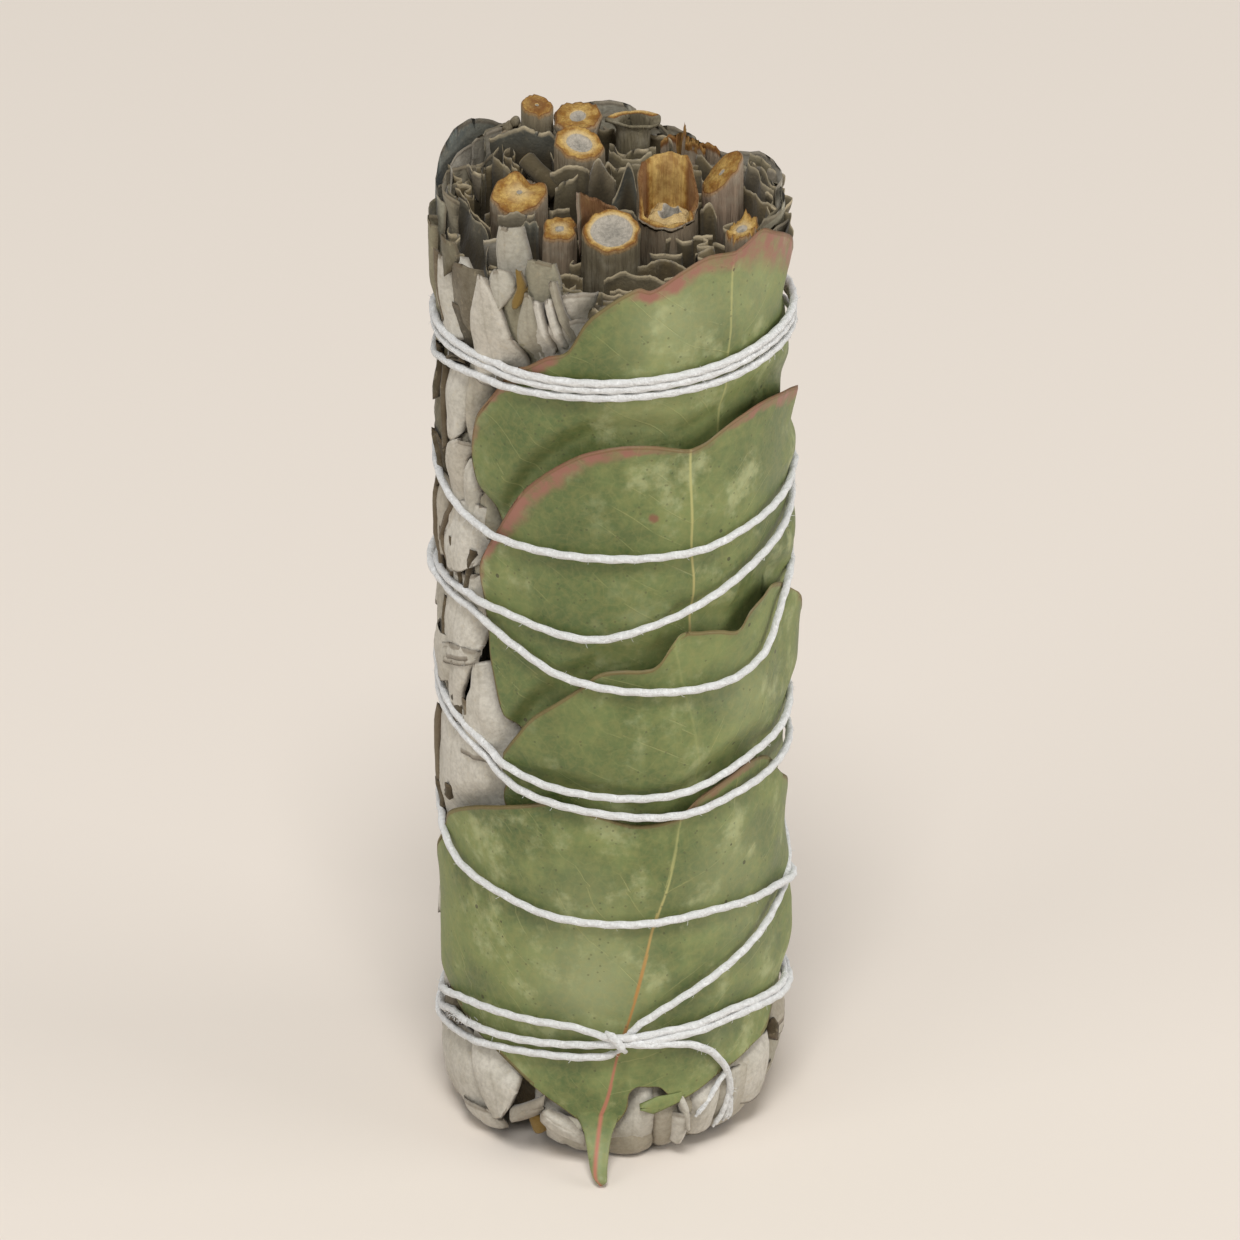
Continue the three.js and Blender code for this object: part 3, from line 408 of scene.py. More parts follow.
# %% Turns of the twine
TURNS = [
    [[3, 15.9], [10, 17.5], [20, 19.3], [33, 21.1], [46, 22.7], [59, 24.2], [71, 25.7], [81, 26.4]],
    [[-90, 51], [-73, 49.4], [-51, 47.8], [-34, 45.9], [-16, 44.7], [18, 43.9], [54, 45.8], [79, 46.3]],
    [[-72, 63.5], [-41, 63.9], [-7, 62.4], [15, 64], [32, 65.7], [53, 67.9], [79, 69.8]],
    [[-87, 91.2], [-45, 91.5], [-16, 91.3], [28, 91.7], [70, 92.4]],
    [[-87, 90.2], [-45, 90.7], [-16, 90.55], [28, 90.95], [70, 91.6]],
    [[-90, 86.7], [-72, 88.1], [-45, 89.3], [-4, 89.75], [35, 90], [69, 90.5]],
    [[-76, 74.2], [-48, 72.3], [-16, 71.8], [28, 71.5], [48, 72.3], [76, 73]],
    [[-72, 62.4], [-50, 62.3], [-33, 60.4], [-16, 57.9], [9, 56.3], [40, 55.5], [57, 56.5], [73, 61],
     [84, 62.4], [97, 62.8]],
    [[-83, 48.6], [-63, 47.4], [-46, 46], [-30, 43.7], [-10, 42.6], [25, 41.4], [45, 42.1], [71, 42.4]],
    [[-76, 34.1], [-60, 31.9], [-38, 30.8], [-17, 29.6], [12, 29.2], [29, 29.3], [55, 28.3], [74, 27.2]],
    [[-96, 11], [-76, 13.7], [-57, 15.8], [-37, 16.6], [-15, 16.9], [0, 16.1], [26, 16.1], [41, 16.5],
     [58, 15.8], [76, 14.6]],
    [[-92, 9.8], [-66, 12.7], [-42, 13.7], [-20, 14.5], [-7, 14.9], [3, 15.4], [28, 15.5], [46, 15.7],
     [72, 14.2]],
    [[-88, 9.2], [-70, 10.3], [-55, 11.2], [-40, 12.3], [-24, 13], [-7, 13.4], [-1, 13.7], [4, 14.4]],
]
ROUTE = [(angle + 360 * number, height) for number, turn in enumerate(TURNS) for angle, height in turn]
SQUEEZE_STEP = 3
SQUEEZE_NEAR, SQUEEZE_FAR = 0.5, 4.0


def pitch(k):
    (a, low), (b, high) = ROUTE[k - 1], ROUTE[k]
    return (high - low) / (b - a)


def grade(k):
    """Slope of the route at one of its points, level where it turns back."""
    if k < 1 or k >= len(ROUTE) - 1:
        return 0
    before, after = pitch(k), pitch(k + 1)
    return 2 * before * after / (before + after) if before * after > 0 else 0


def twine_height(turn):
    """Height of the twine at a running angle."""
    k = 1
    while k < len(ROUTE) - 1 and ROUTE[k][0] < turn:
        k += 1
    (a, low), (b, high) = ROUTE[k - 1], ROUTE[k]
    span = b - a
    t = clamp((turn - a) / span)
    start, end = grade(k - 1) * span, grade(k) * span
    return ((2 * t ** 3 - 3 * t ** 2 + 1) * low + (t ** 3 - 2 * t ** 2 + t) * start
            + (3 * t ** 2 - 2 * t ** 3) * high + (t ** 3 - t ** 2) * end)


def strands_at(angle):
    """Heights of all strands that pass an angle."""
    first, last = ROUTE[0][0], ROUTE[-1][0]
    turns = (angle + 360 * k for k in range(-1, len(TURNS) + 1))
    return [twine_height(turn) for turn in turns if first <= turn <= last]


STRANDS = {angle: strands_at(angle) for angle in range(-180, 181, SQUEEZE_STEP)}


def swell(angle, height):
    """0 under a strand of the twine and 1 well away from all of them."""
    turned = (angle + 180) % 360 - 180
    low = math.floor(turned / SQUEEZE_STEP) * SQUEEZE_STEP
    gaps = [min((abs(height - strand) for strand in STRANDS[a]), default=9)
            for a in (low, low + SQUEEZE_STEP)]
    return ramp(SQUEEZE_NEAR, SQUEEZE_FAR, mix(*gaps, (turned - low) / SQUEEZE_STEP))


print("strands in front:", [round(height) for height in STRANDS[0]])

# %% [markdown]
# ## Eucalyptus leaves
# Four round, leathery leaves lie over the front like roof tiles, from the top down, each one over
# the lower part of the one above it. Each leaf is described as it was laid round the bunch: its
# upper and lower edge as pairs of angle and height, the corners between them, its midrib from the
# stalk end up, and how red its upper rim is. A net spanned by the four edges gives every other
# point, so one rule makes all four.

# %% Leaf outlines
LEAF_THICKNESS = 0.4
LEAF_UNDER = 16.75        # radius of the middle of a leaf where another one covers it
LEAF_OVER = 17.8          # and where it lies free on top
LEAF_SWELL = 0.35         # how far it swells between two strands of the twine
SIDE_UNDER = 0.6          # less deep at the right side
LEAF_STEP = 1.4
LEAF_RISE = 3.5
LEAVES = [
    dict(node="eucalyptus_leaf_top",
         top=[[-43, 87], [-34, 91.1], [-28, 92.1], [-21, 93.6], [-14, 94.6], [-8, 98], [0, 100.3],
             [8, 101.7], [13, 101.4], [23, 103.1], [32, 104.1], [43, 103.9], [54, 104.9], [63, 103.6],
             [79, 100.9], [92, 97.5]],
         bottom=[[-33, 68.5], [-26, 68.4], [-19, 68.4], [-12, 68.5], [-5, 68.8], [2, 69.1], [9, 69.5],
             [16, 70], [23, 70.4], [31, 70.7], [40, 70.9], [49, 71.2], [59, 71.4], [71, 71.4], [85, 71.2],
             [98, 71]],
         left=[[-38, 71.2], [-43, 74], [-50, 78.4], [-51, 81], [-48, 84.6]],
         right=[[106, 72.6], [113, 76.5], [117, 83], [114, 89], [104, 94]],
         midrib=[[38, 70], [39, 80], [40.5, 90], [41.5, 104.5]],
         rib=0.55,
         red=[[-43, 0.3], [-22, 0.55], [-15, 0.1], [5, 0.15], [12, 0.6], [30, 0.75], [42, 1.1], [52, 1.7],
             [75, 1.7], [92, 1.4]]),
    dict(node="eucalyptus_leaf_second",
         top=[[-40, 72.8], [-36, 74.9], [-30, 77.9], [-23, 80.2], [-16, 82], [-9, 83.4], [-1, 84.2],
             [6, 84.4], [13, 84.2], [19, 83.7], [25, 83.2], [31, 83.5], [37, 84.4], [45, 85.2], [56, 85.5],
             [71, 84.6], [86, 83], [98, 81]],
         bottom=[[-30, 49.4], [-24, 49.6], [-17, 49.6], [-10, 49.4], [-3, 49], [3, 48.6], [9, 48.4],
             [15, 48.6], [21, 49.2], [27, 50.3], [33, 51.2], [39, 51.8], [46, 52.2], [54, 52.3], [63, 51.8],
             [74, 50.4], [85, 49.6], [96, 49.5]],
         left=[[-35, 50.6], [-40, 53.6], [-45, 60.3], [-48, 66.8], [-45, 70]],
         right=[[105, 54], [110, 60], [112, 67], [110, 74], [105, 78.5]],
         midrib=[[29.5, 50], [28.5, 60], [27, 72], [25.5, 83.4]],
         rib=0.8,
         red=[[-45, 0.5], [-36, 0.8], [-22, 0.95], [-5, 0.75], [6, 0.4], [20, 0.15], [40, 0.25], [60, 0.55],
             [98, 0.6]]),
    dict(node="eucalyptus_leaf_third",
         top=[[-38, 47.3], [-32, 50], [-26, 52.6], [-16, 55.2], [-9, 57], [-4, 58.4], [3, 58.8], [10, 58.7],
             [15, 59.2], [22, 62.2], [30, 62.1], [37, 61.6], [45, 60.8], [50, 62.4], [57, 63.2], [65, 63.6],
             [82, 60.6], [100, 55]],
         bottom=[[-30, 37], [-24, 36], [-18, 35.3], [-11, 34.6], [-4, 34], [2, 33.6], [8, 33.4], [14, 33.2],
             [20, 33], [27, 33], [34, 33], [41, 33.2], [48, 33.5], [55, 34], [63, 34.7], [72, 35.7],
             [83, 37.3], [95, 39.5]],
         left=[[-37, 38.7], [-42, 41.2], [-40, 43.4], [-39, 45.4]],
         right=[[103, 43], [108, 46], [111, 49.5], [107, 52.8]],
         midrib=[[34, 33], [32, 42], [27, 52], [20, 62]],
         rib=0.15,
         red=[[-38, 0.1], [60, 0.12], [100, 0.2]]),
    dict(node="eucalyptus_leaf_bottom",
         top=[[-76, 32.3], [-71, 35.1], [-64, 37.3], [-51, 39.6], [-40, 41], [-28, 42.2], [-19, 42.9],
             [-12, 42.3], [-3, 41.7], [6, 40.8], [14, 40.7], [23, 41.2], [31, 43], [43, 44.2], [54, 44.6],
             [65, 43.3], [75, 39.9], [88, 37], [100, 33]],
         bottom=[[-77, 15.2], [-66, 14.3], [-54, 12.7], [-43, 11.5], [-31, 9.7], [-22, 8], [-17, 7.1],
             [-12, 6], [-7, 5], [-2, 4.9], [2, 5.8], [5, 7.4], [5.5, 9], [8, 9.9], [12, 9.8], [16, 9.6],
             [20, 8.2], [24, 7.7], [30, 8.3], [38, 9.4], [46, 10], [55, 10.8], [64, 11.3], [75, 13.7],
             [90, 16]],
         left=[[-86, 15.8], [-90, 17.5], [-91, 21], [-90, 25], [-86, 28.8]],
         right=[[98, 17.5], [104, 20.5], [107, 24], [107, 27.5], [105, 30.5]],
         midrib=[[-5.5, 4.6], [-3.6, 6.5], [-1.4, 8.6], [1.8, 13.3], [4.6, 16.6], [9, 22.2], [13, 27.5],
             [19, 34], [23, 40.9]],
         rib=1,
         fade=24,
         red=[[-76, 0.1], [15, 0.1], [30, 0.3], [50, 0.3], [60, 0.1], [100, 0.1]]),
]
print("leaves:", [leaf["node"] for leaf in LEAVES])

# %% [markdown]
# The edges are short lists of points. A Catmull-Rom curve passes through all of them and rounds
# what lies between, and the net mixes the four edge curves so that it meets each of them exactly.

# %% The net of a leaf
def smooth_on(points, share):
    """The smooth curve through evenly numbered points, read at a share of its length."""
    last = len(points) - 1
    k = min(int(share * last), last - 1)
    t = share * last - k
    p, q, r, s = (points[max(0, min(last, k + step))] for step in (-1, 0, 1, 2))
    return [0.5 * (2 * b + (c - a) * t + (2 * a - 5 * b + 4 * c - d) * t * t
                   + (3 * b - a - 3 * c + d) * t ** 3) for a, b, c, d in zip(p, q, r, s)]


def share_of(point, points, axis):
    """How far a point lies along a list of points, from 0 to 1, on one of its coordinates."""
    first, last = points[0][axis], points[-1][axis]
    return (point[axis] - first) / (last - first)


def ready_leaf(leaf):
    """Closes the two side edges with the corners."""
    top, bottom = leaf["top"], leaf["bottom"]
    leaf["left"] = [bottom[0], *leaf["left"], top[0]]
    leaf["right"] = [bottom[-1], *leaf["right"], top[-1]]


def laid_out(leaf, u, v):
    """Angle and height of a point of a leaf, u from left to right and v from bottom to top."""
    top, bottom = smooth_on(leaf["top"], u), smooth_on(leaf["bottom"], u)
    left, right = smooth_on(leaf["left"], v), smooth_on(leaf["right"], v)
    across = (share_of(top, leaf["top"], 0) + share_of(bottom, leaf["bottom"], 0)) / 2
    upward = (share_of(left, leaf["left"], 1) + share_of(right, leaf["right"], 1)) / 2
    corners = [mix(mix(leaf["bottom"][0][axis], leaf["bottom"][-1][axis], across),
                   mix(leaf["top"][0][axis], leaf["top"][-1][axis], across), upward) for axis in (0, 1)]
    return [mix(bottom[axis], top[axis], upward) + mix(left[axis], right[axis], across) - corners[axis]
            for axis in (0, 1)]


def arc(angle):
    """Length round the bunch in millimetres."""
    return math.radians(angle) * LEAF_OVER


def outline_of(leaf):
    """The outline of a leaf as points (length round the bunch, height)."""
    ends = [(k / 40, 0) for k in range(40)] + [(1, k / 24) for k in range(24)]
    ends += [(1 - k / 40, 1) for k in range(40)] + [(0, 1 - k / 24) for k in range(24)]
    return [(arc(angle), height) for angle, height in (laid_out(leaf, u, v) for u, v in ends)]


def distance_to(path, x, y, closed):
    """Shortest distance to a path, the signed side and the length along it at the nearest point."""
    best, side, along, walked = 1e9, 1, 0, 0
    for (ax, ay), (bx, by) in zip(path, path[1:] + path[:1] if closed else path[1:]):
        dx, dy = bx - ax, by - ay
        length = math.hypot(dx, dy) or 1e-9
        t = clamp(((x - ax) * dx + (y - ay) * dy) / length ** 2)
        gap = math.hypot(x - ax - t * dx, y - ay - t * dy)
        if gap < best:
            best, side, along = gap, math.copysign(1, dx * (y - ay) - dy * (x - ax)), walked + t * length
        walked += length
    return best, side, along


def is_inside(path, x, y):
    crossings = [x < ax + (y - ay) * (bx - ax) / (by - ay)
                 for (ax, ay), (bx, by) in zip(path, path[1:] + path[:1]) if (ay > y) != (by > y)]
    return sum(crossings) % 2 == 1


def depth_inside(angle, height):
    """How far inside the eucalyptus leaves a point of the outside lies, negative beyond them."""
    x = arc(angle - 360 if angle > 180 else angle)
    depths = []
    for path in OUTLINES:
        gap = distance_to(path, x, height, True)[0]
        depths.append(gap if is_inside(path, x, height) else -gap)
    return max(depths)


for leaf in LEAVES:
    ready_leaf(leaf)
OUTLINES = [outline_of(leaf) for leaf in LEAVES]
print("points in each outline:", len(OUTLINES[0]))

# %% [markdown]
# Where the next leaf covers it, a leaf lies flat on the sage, and just above that leaf's edge it
# climbs onto the outside. The free leaf waves a little, its rim stands off, and the midrib is a
# low ridge. The blade is thin, so `solidify` gives it its thickness last.

# %% Build the leaves
LEAF_COLUMNS, LEAF_ROWS = 120, 80
WAVE, FINE_WAVE = 0.16, 0.05
RIM_LIFT, RIM_WIDTH = 0.5, 1.8
MIDRIB_HEIGHT, MIDRIB_WIDTH = 0.14, 0.35
SHADES = [                # angle, height, size, and how much paler, or darker if negative
    (20, 98, 5, 0.8), (55, 99, 5, 0.45), (-33, 84, 6, -1.0), (8, 87, 5, 0.4), (-17, 74, 7, -0.5),
    (0, 65, 7, -0.5), (-28, 57, 6, -0.5), (50, 53, 5, 0.5), (41, 34, 6, 0.5), (-15, 24, 5, -0.2),
    (-8, 22.5, 6, 1.0), (-8, 33, 5, 0.3), (38, 15, 4, 0.3), (56, 24, 5, 0.4), (70, 76, 6, 0.2),
    (5, 71, 9, -0.25), (10, 46, 9, -0.35), (-22, 50, 6, -0.3),
]


def leaf_radius(number, angle, height):
    """Radius of the middle of a leaf at a place."""
    radius = LEAF_OVER + LEAF_SWELL * swell(angle, height)
    if number + 1 < len(LEAVES):
        crease = value_on(LEAVES[number + 1]["top"], angle) + LEAF_STEP
        under = LEAF_UNDER + SIDE_UNDER * ramp(66, 92, angle)
        radius = mix(under, radius, ramp(crease, crease + LEAF_RISE, height))
    if number == 0:       # pinched in at the right side
        radius -= 0.9 * ramp(70, 88, angle) * math.exp(-((height - 94.5) / 2.2) ** 2)
    if number == 1:       # stands off under the top leaf and between the strands
        radius += 0.6 * ramp(76, 92, angle) * ramp(77, 82, height)
        free = max(swell(angle, height), ramp(67.5, 65, height))
        radius += mix(0.3, 0.8, free) * ramp(70, 86, angle) * ramp(54, 58, height) * ramp(79, 76, height)
    if number == 2:       # its right corner flares out
        flare = 1.5 * mix(0.6, 1, swell(angle, height)) * ramp(70, 100, angle)
        radius += flare * ramp(38, 52, height) * ramp(61.5, 58.5, height)
    if number == 3:       # bulges between the low strands
        radius += 0.9 * ramp(68, 90, angle) * ramp(14, 20, height) * ramp(32, 27, height)
    return radius


def shade_at(angle, height):
    """How much paler, or darker if negative, the green is at a place."""
    return sum(shade * math.exp(-((arc(angle) - arc(a)) ** 2 + (height - z) ** 2) / size ** 2)
               for a, z, size, shade in SHADES)


def leaf_rule(number):
    leaf, outline = LEAVES[number], OUTLINES[number]
    midrib = [(arc(angle), height) for angle, height in
              (smooth_on(leaf["midrib"], k / 24) for k in range(25))]

    def place(u, v):
        angle, height = laid_out(leaf, u, v)
        x = arc(angle)
        edge = distance_to(outline, x, height, True)[0]
        across, side, along = distance_to(midrib, x, height, False)
        free = ramp(LEAF_UNDER, LEAF_OVER, leaf_radius(number, angle, height))
        wave = WAVE * ripple(x, height, number, 7) + FINE_WAVE * ripple(x, height, number + 9, 2.5)
        lift = RIM_LIFT * math.exp(-edge / RIM_WIDTH) * (0.6 + 0.6 * ripple(x, height, number + 20, 9))
        ridge = MIDRIB_HEIGHT * math.exp(-(across / MIDRIB_WIDTH) ** 2)
        radius = leaf_radius(number, angle, height) + free * (wave + ramp(0.3, 1, v) * lift) + ridge
        red = value_on(leaf["red"], angle) * ramp(0.45, 0.8, v)
        faint = 1 - 0.6 * ramp(leaf.get("fade", 99), leaf.get("fade", 99) + 12, along)
        return (around(angle, radius, height), (side * across, along, shade_at(angle, height)),
                (edge, red, leaf["rib"] * faint))

    return place


def build_leaf(number):
    bm = new_bmesh()
    add_sheet(bm, LEAF_COLUMNS, LEAF_ROWS, leaf_rule(number), LEAF_THICKNESS)
    if number == len(LEAVES) - 1:
        add_stalk(bm)
        add_flap(bm)
    node = LEAVES[number]["node"]
    finish_piece(bm, node + "_blade", EUCALYPTUS, node)

# %% [markdown]
# The lowest leaf keeps its stalk, which bends out and down to the ground. It is a tube: a grid is
# rolled up, ring by ring, and `remove_doubles` closes its seam. That is much quicker than to
# extrude a ring step by step, which matters later for the long twine.

# %% Tubes and the stalk
STALK = [[17.6, 8.8, -5.4, 1.2, 0.3, -0.5], [17.85, 7.2, -4.8, 0.9, 0.35, -0.9],
         [18.05, 6.2, -3.9, 0.7, 0.4, -1.15], [18.35, 5.2, -3.35, 0.4, 0.55, -1.3],
         [18.75, 4.3, -2.95, 0.0, 0.8, -1.45], [19.4, 3.2, -2.7, -0.25, 1.0, -1.6],
         [20.3, 2.15, -2.5, -0.4, 1.1, -1.75], [21.3, 1.4, -2.3, -0.5, 1.1, -1.8],
         [22.1, 0.95, -2.05, -0.5, 1.05, -1.7], [22.6, 0.75, -1.75, -0.55, 0.9, -1.45],
         [22.85, 0.7, -1.5, -0.75, 0.5, -1.2]]
STALK_SIDES = 20


def add_tube(bm, rings, looks):
    """A closed tube through rings of points; looks gives one look vector for each ring."""
    laid, look = layers_of(bm)
    sides, steps = len(rings[0]), len(rings) - 1
    verts = bmesh.ops.create_grid(bm, x_segments=sides, y_segments=steps, size=0.5)["verts"]
    ends = {0: [], steps: []}
    for vert in verts:
        side, step = round((vert.co.x + 0.5) * sides), round((vert.co.y + 0.5) * steps)
        vert.co = rings[step][side % sides]
        vert[look] = looks[step]
        vert[laid] = (side / sides, step, 0)
        if step in ends and side < sides:
            ends[step].append((side, vert))
    for end in ends.values():
        bm.faces.new([vert for side, vert in sorted(end, key=lambda pair: pair[0])])
    bmesh.ops.remove_doubles(bm, verts=verts, dist=1e-4)


def add_stalk(bm):
    """The stalk as rings of [distance in front, height, left side, right side, thickness, rib]."""
    laid, look = layers_of(bm)
    rings = []
    for k, (out, height, left, right, thick, rib) in enumerate(STALK):
        before, after = STALK[max(0, k - 1)], STALK[min(len(STALK) - 1, k + 1)]
        run = Vector((after[0] - before[0], after[1] - before[1])).normalized()
        ring = []
        for s in range(STALK_SIDES):
            turn = 2 * math.pi * s / STALK_SIDES
            x = mix(left, right, 0.5 + 0.5 * math.cos(turn))
            front = math.sqrt(out ** 2 - x ** 2)
            groove = 0.16 * math.exp(-((x - rib) / 0.3) ** 2) * max(0, -math.sin(turn))
            lift = math.sin(turn) * thick / 2 - groove
            ring.append(Vector((x, -(front - run.y * lift), max(0.1, height + run.x * lift))))
        rings.append(ring)
    old = set(bm.verts)
    add_tube(bm, rings, [(0, 0, 1)] * len(rings))
    for vert in set(bm.verts) - old:
        k = min(range(len(STALK)), key=lambda j: abs(-vert.co.y - STALK[j][0]) + abs(vert.co.z - STALK[j][1]))
        left, right = STALK[k][2:4]
        rib = value_on([[ring[1], ring[5]] for ring in reversed(STALK)], vert.co.z)
        vert[laid] = ((vert.co.x - rib) * 0.62, 0, 0.4 * ramp(6.4, 3.2, vert.co.z))
        vert[look] = (min(right - vert.co.x, vert.co.x - left) + 0.15, 0.1, 1)


FLAP = {"first": 9, "last": 23.5, "low": [[0, 7.3], [0.3, 6.6], [0.6, 7.0], [1, 7.5]],
        "high": [[0, 7.6], [0.4, 8.3], [1, 8.3]]}


def add_flap(bm):
    """The curled scrap of blade below the bite in the lowest leaf."""
    def place(u, v):
        angle = mix(FLAP["first"], FLAP["last"], u)
        height = mix(value_on(FLAP["low"], u), value_on(FLAP["high"], u), v)
        radius = 18.35 + 0.55 * math.sin(math.pi * (1 - v) * 0.8) * (1 - u)
        return around(angle, radius, height), (6 + 3 * u, 4, 0), (0.25 + 0.5 * min(v, 1 - v), 0, 0)

    add_sheet(bm, 16, 8, place, 0.3)


print("stalk reaches", STALK[-1][0], "mm in front of the middle")

# %% [markdown]
# ### The finish of a dried eucalyptus leaf
# The skin is a dull waxy green with paler and yellower clouds, dark specks, a yellow midrib that
# turns orange near the stalk, and a few thin side veins. The rim is brown, and red where the sun
# reached it. The veins follow the `laid` attribute, so that they grow out of the midrib.

# %% Eucalyptus material
LEAF_DARK = (0.080, 0.120, 0.033, 1)
LEAF_LIGHT = (0.192, 0.236, 0.078, 1)
LEAF_CLOUD = (0.42, 0.45, 0.235, 1)
LEAF_YELLOW = (0.36, 0.30, 0.10, 1)
LEAF_RED = (0.30, 0.132, 0.092, 1)
LEAF_BROWN = (0.16, 0.085, 0.03, 1)
VEIN_PALE = (0.48, 0.46, 0.18, 1)
VEIN_ORANGE = (0.42, 0.20, 0.05, 1)
VEIN_RED = (0.42, 0.155, 0.095, 1)
SPECK_DARK = (0.05, 0.045, 0.02, 1)
SCAB_RED = (0.21, 0.085, 0.05, 1)
SCAB_PLACE = tuple(around(12.8, 18.3, 75.7) * MM)
VEIN_PITCH = 3.4
VEIN_SLOPE = 0.75


def side_veins(coat, laid):
    """Thin veins that leave the midrib at a slant on both sides and break off here and there."""
    bend = coat.node("ShaderNodeTexNoise", {"Vector": coat.seat, "Scale": 70, "Detail": 1})["Fac"]
    slant = coat.maths("SUBTRACT", laid[1], coat.times(coat.maths("ABSOLUTE", laid[0]), VEIN_SLOPE))
    bent = coat.maths("DIVIDE", coat.maths("ADD", slant, coat.times(bend, 7)), VEIN_PITCH)
    line = coat.line(coat.maths("SUBTRACT", coat.maths("FRACT", bent), 0.5), 0.035)
    return coat.times(line, coat.mottle(130, 3, 0.45, 0.6))


def make_leaf_material():
    coat = Finish("eucalyptus", LEAF_DARK, 0.5)
    laid, look = coat.parts("laid"), coat.parts("look")
    clouds = coat.mottle(110, 5, 0.36, 0.66)
    coat.over(LEAF_LIGHT, clouds)
    coat.over(LEAF_CLOUD, coat.mottle(210, 7, 0.52, 0.72), 0.7)
    coat.over(LEAF_CLOUD, laid[2], 0.6)
    coat.over(LEAF_DARK, laid[2], -0.9)
    coat.over(LEAF_YELLOW, coat.mottle(1400, 3, 0.3, 0.75), 0.22)
    net = coat.node("ShaderNodeTexVoronoi", {"Vector": coat.seat, "Scale": 620}, feature="DISTANCE_TO_EDGE")
    coat.over(VEIN_PALE, coat.line(net["Distance"], 0.07), 0.05)
    veins = side_veins(coat, laid)
    coat.over(VEIN_PALE, veins, 0.24)
    low = coat.times(coat.step(laid[1], 16, 34, 1, 0), coat.step(look[2], 0.7, 1))
    rib_colour = coat.mix(low, VEIN_PALE, VEIN_ORANGE)
    rib_colour = coat.mix(coat.times(coat.step(laid[1], 6, 15, 1, 0), look[2]), rib_colour, VEIN_RED)
    coat.over(rib_colour, coat.line(laid[0], 0.24), look[2])
    coat.over(SPECK_DARK, coat.specks(420, 0.1, 0.3), 0.75)
    coat.over(SPECK_DARK, coat.specks(1500, 0.2, 0.3), 0.4)
    wander = coat.node("ShaderNodeTexNoise", {"Vector": coat.seat, "Scale": 420, "Detail": 3})["Fac"]
    wander = coat.maths("SUBTRACT", wander, 0.5)
    edge = coat.maths("ADD", look[0], coat.times(wander, 2.2))
    reach = coat.maths("MULTIPLY_ADD", look[1], 2, 0.12)
    blush = coat.step(coat.maths("DIVIDE", edge, reach), 0.35, 1.15, 1, 0)
    blush = coat.times(blush, coat.step(look[1], 0.05, 0.45))
    coat.over(LEAF_RED, blush, coat.maths("MULTIPLY_ADD", coat.mottle(560, 4, 0.32, 0.58), 0.6, 0.4))
    scab = coat.node("ShaderNodeVectorMath", {0: coat.seat, 1: SCAB_PLACE}, operation="DISTANCE")["Value"]
    scab = coat.maths("ADD", scab, coat.times(wander, 0.0022))
    coat.over(SCAB_RED, coat.step(scab, 0.0004, 0.0008, 0.85, 0))
    coat.over(LEAF_BROWN, coat.step(look[0], 0.02, 0.17, 1, 0), 0.6)
    coat.tree.links.new(coat.step(clouds, 0, 1, 0.46, 0.62), coat.skin["Roughness"])
    height = coat.maths("ADD", coat.grain(2600, 520, 0.35), coat.times(veins, 0.35))
    return coat.done(height, 0.35, 0.00025)


EUCALYPTUS = make_leaf_material()
for number in range(len(LEAVES)):
    build_leaf(number)

# %% [markdown]
# ## The sage
# A dried white sage leaf is long, thick and felted, pale grey above and lighter below. The leaves
# were pressed flat against the bunch while they dried, so each one is a strip that follows the
# round outside, crowned across, with soft creases, thin rims and a tip that stands off a little.
# They hang from sixteen sprigs. The sprig whose stem is nearest owns a leaf, as in the solids.

# %% Where the sage lies
SPRIGS = [(-7.7, 12.8), (-3.5, 13.4), (-3.3, 8.2), (2.1, 13.6), (-9.4, 2.2), (-5.3, -3), (-0.4, -4.2),
          (5.7, 0.6), (11.2, 3.4), (13.2, -1.9), (-11.4, 9.4), (7, 11), (-12.5, -4.5), (-6, -11.5),
          (4.5, -12), (11, -8.5)]
BARE_RADIUS = 17.75
SWELL = 0.5
PRESSED_RADIUS = 16.3
PRESS_ANGLE, PRESS_HEIGHT = 4, 2
PRESS_TOP = 112


def sprig_at(x, y):
    return min(range(len(SPRIGS)), key=lambda k: math.dist(SPRIGS[k], (x, y)))


PRESS = {(a, z): ramp(-2, 0, depth_inside(a, z))
         for a in range(-180, 181, PRESS_ANGLE) for z in range(0, PRESS_TOP + 1, PRESS_HEIGHT)}


def pressed(angle, height):
    """1 where a eucalyptus leaf lies over the sage and 0 where the sage is bare."""
    turned = (angle + 180) % 360 - 180
    a = min(math.floor(turned / PRESS_ANGLE) * PRESS_ANGLE, 180 - PRESS_ANGLE)
    z = math.floor(clamp(height, 0, PRESS_TOP - PRESS_HEIGHT - 0.1) / PRESS_HEIGHT) * PRESS_HEIGHT
    s, t = (turned - a) / PRESS_ANGLE, clamp((height - z) / PRESS_HEIGHT)
    return mix(mix(PRESS[a, z], PRESS[a + PRESS_ANGLE, z], s),
               mix(PRESS[a, z + PRESS_HEIGHT], PRESS[a + PRESS_ANGLE, z + PRESS_HEIGHT], s), t)


def turned_in(height, radius):
    """A radius rounded in at the foot."""
    t = clamp(height / FOOT_HEIGHT)
    return mix(FOOT_RADIUS, radius, math.sqrt(1 - (1 - t) ** 2))


def sage_radius(angle, height):
    """Radius of the outside of the sage, swollen between the strands and rounded in at the foot."""
    bare = BARE_RADIUS + SWELL * swell(angle, height)
    return min(mix(bare, PRESSED_RADIUS, pressed(angle, height)), turned_in(height, bare))


print("sage radius at the left:", round(sage_radius(-80, 55), 2), "mm")

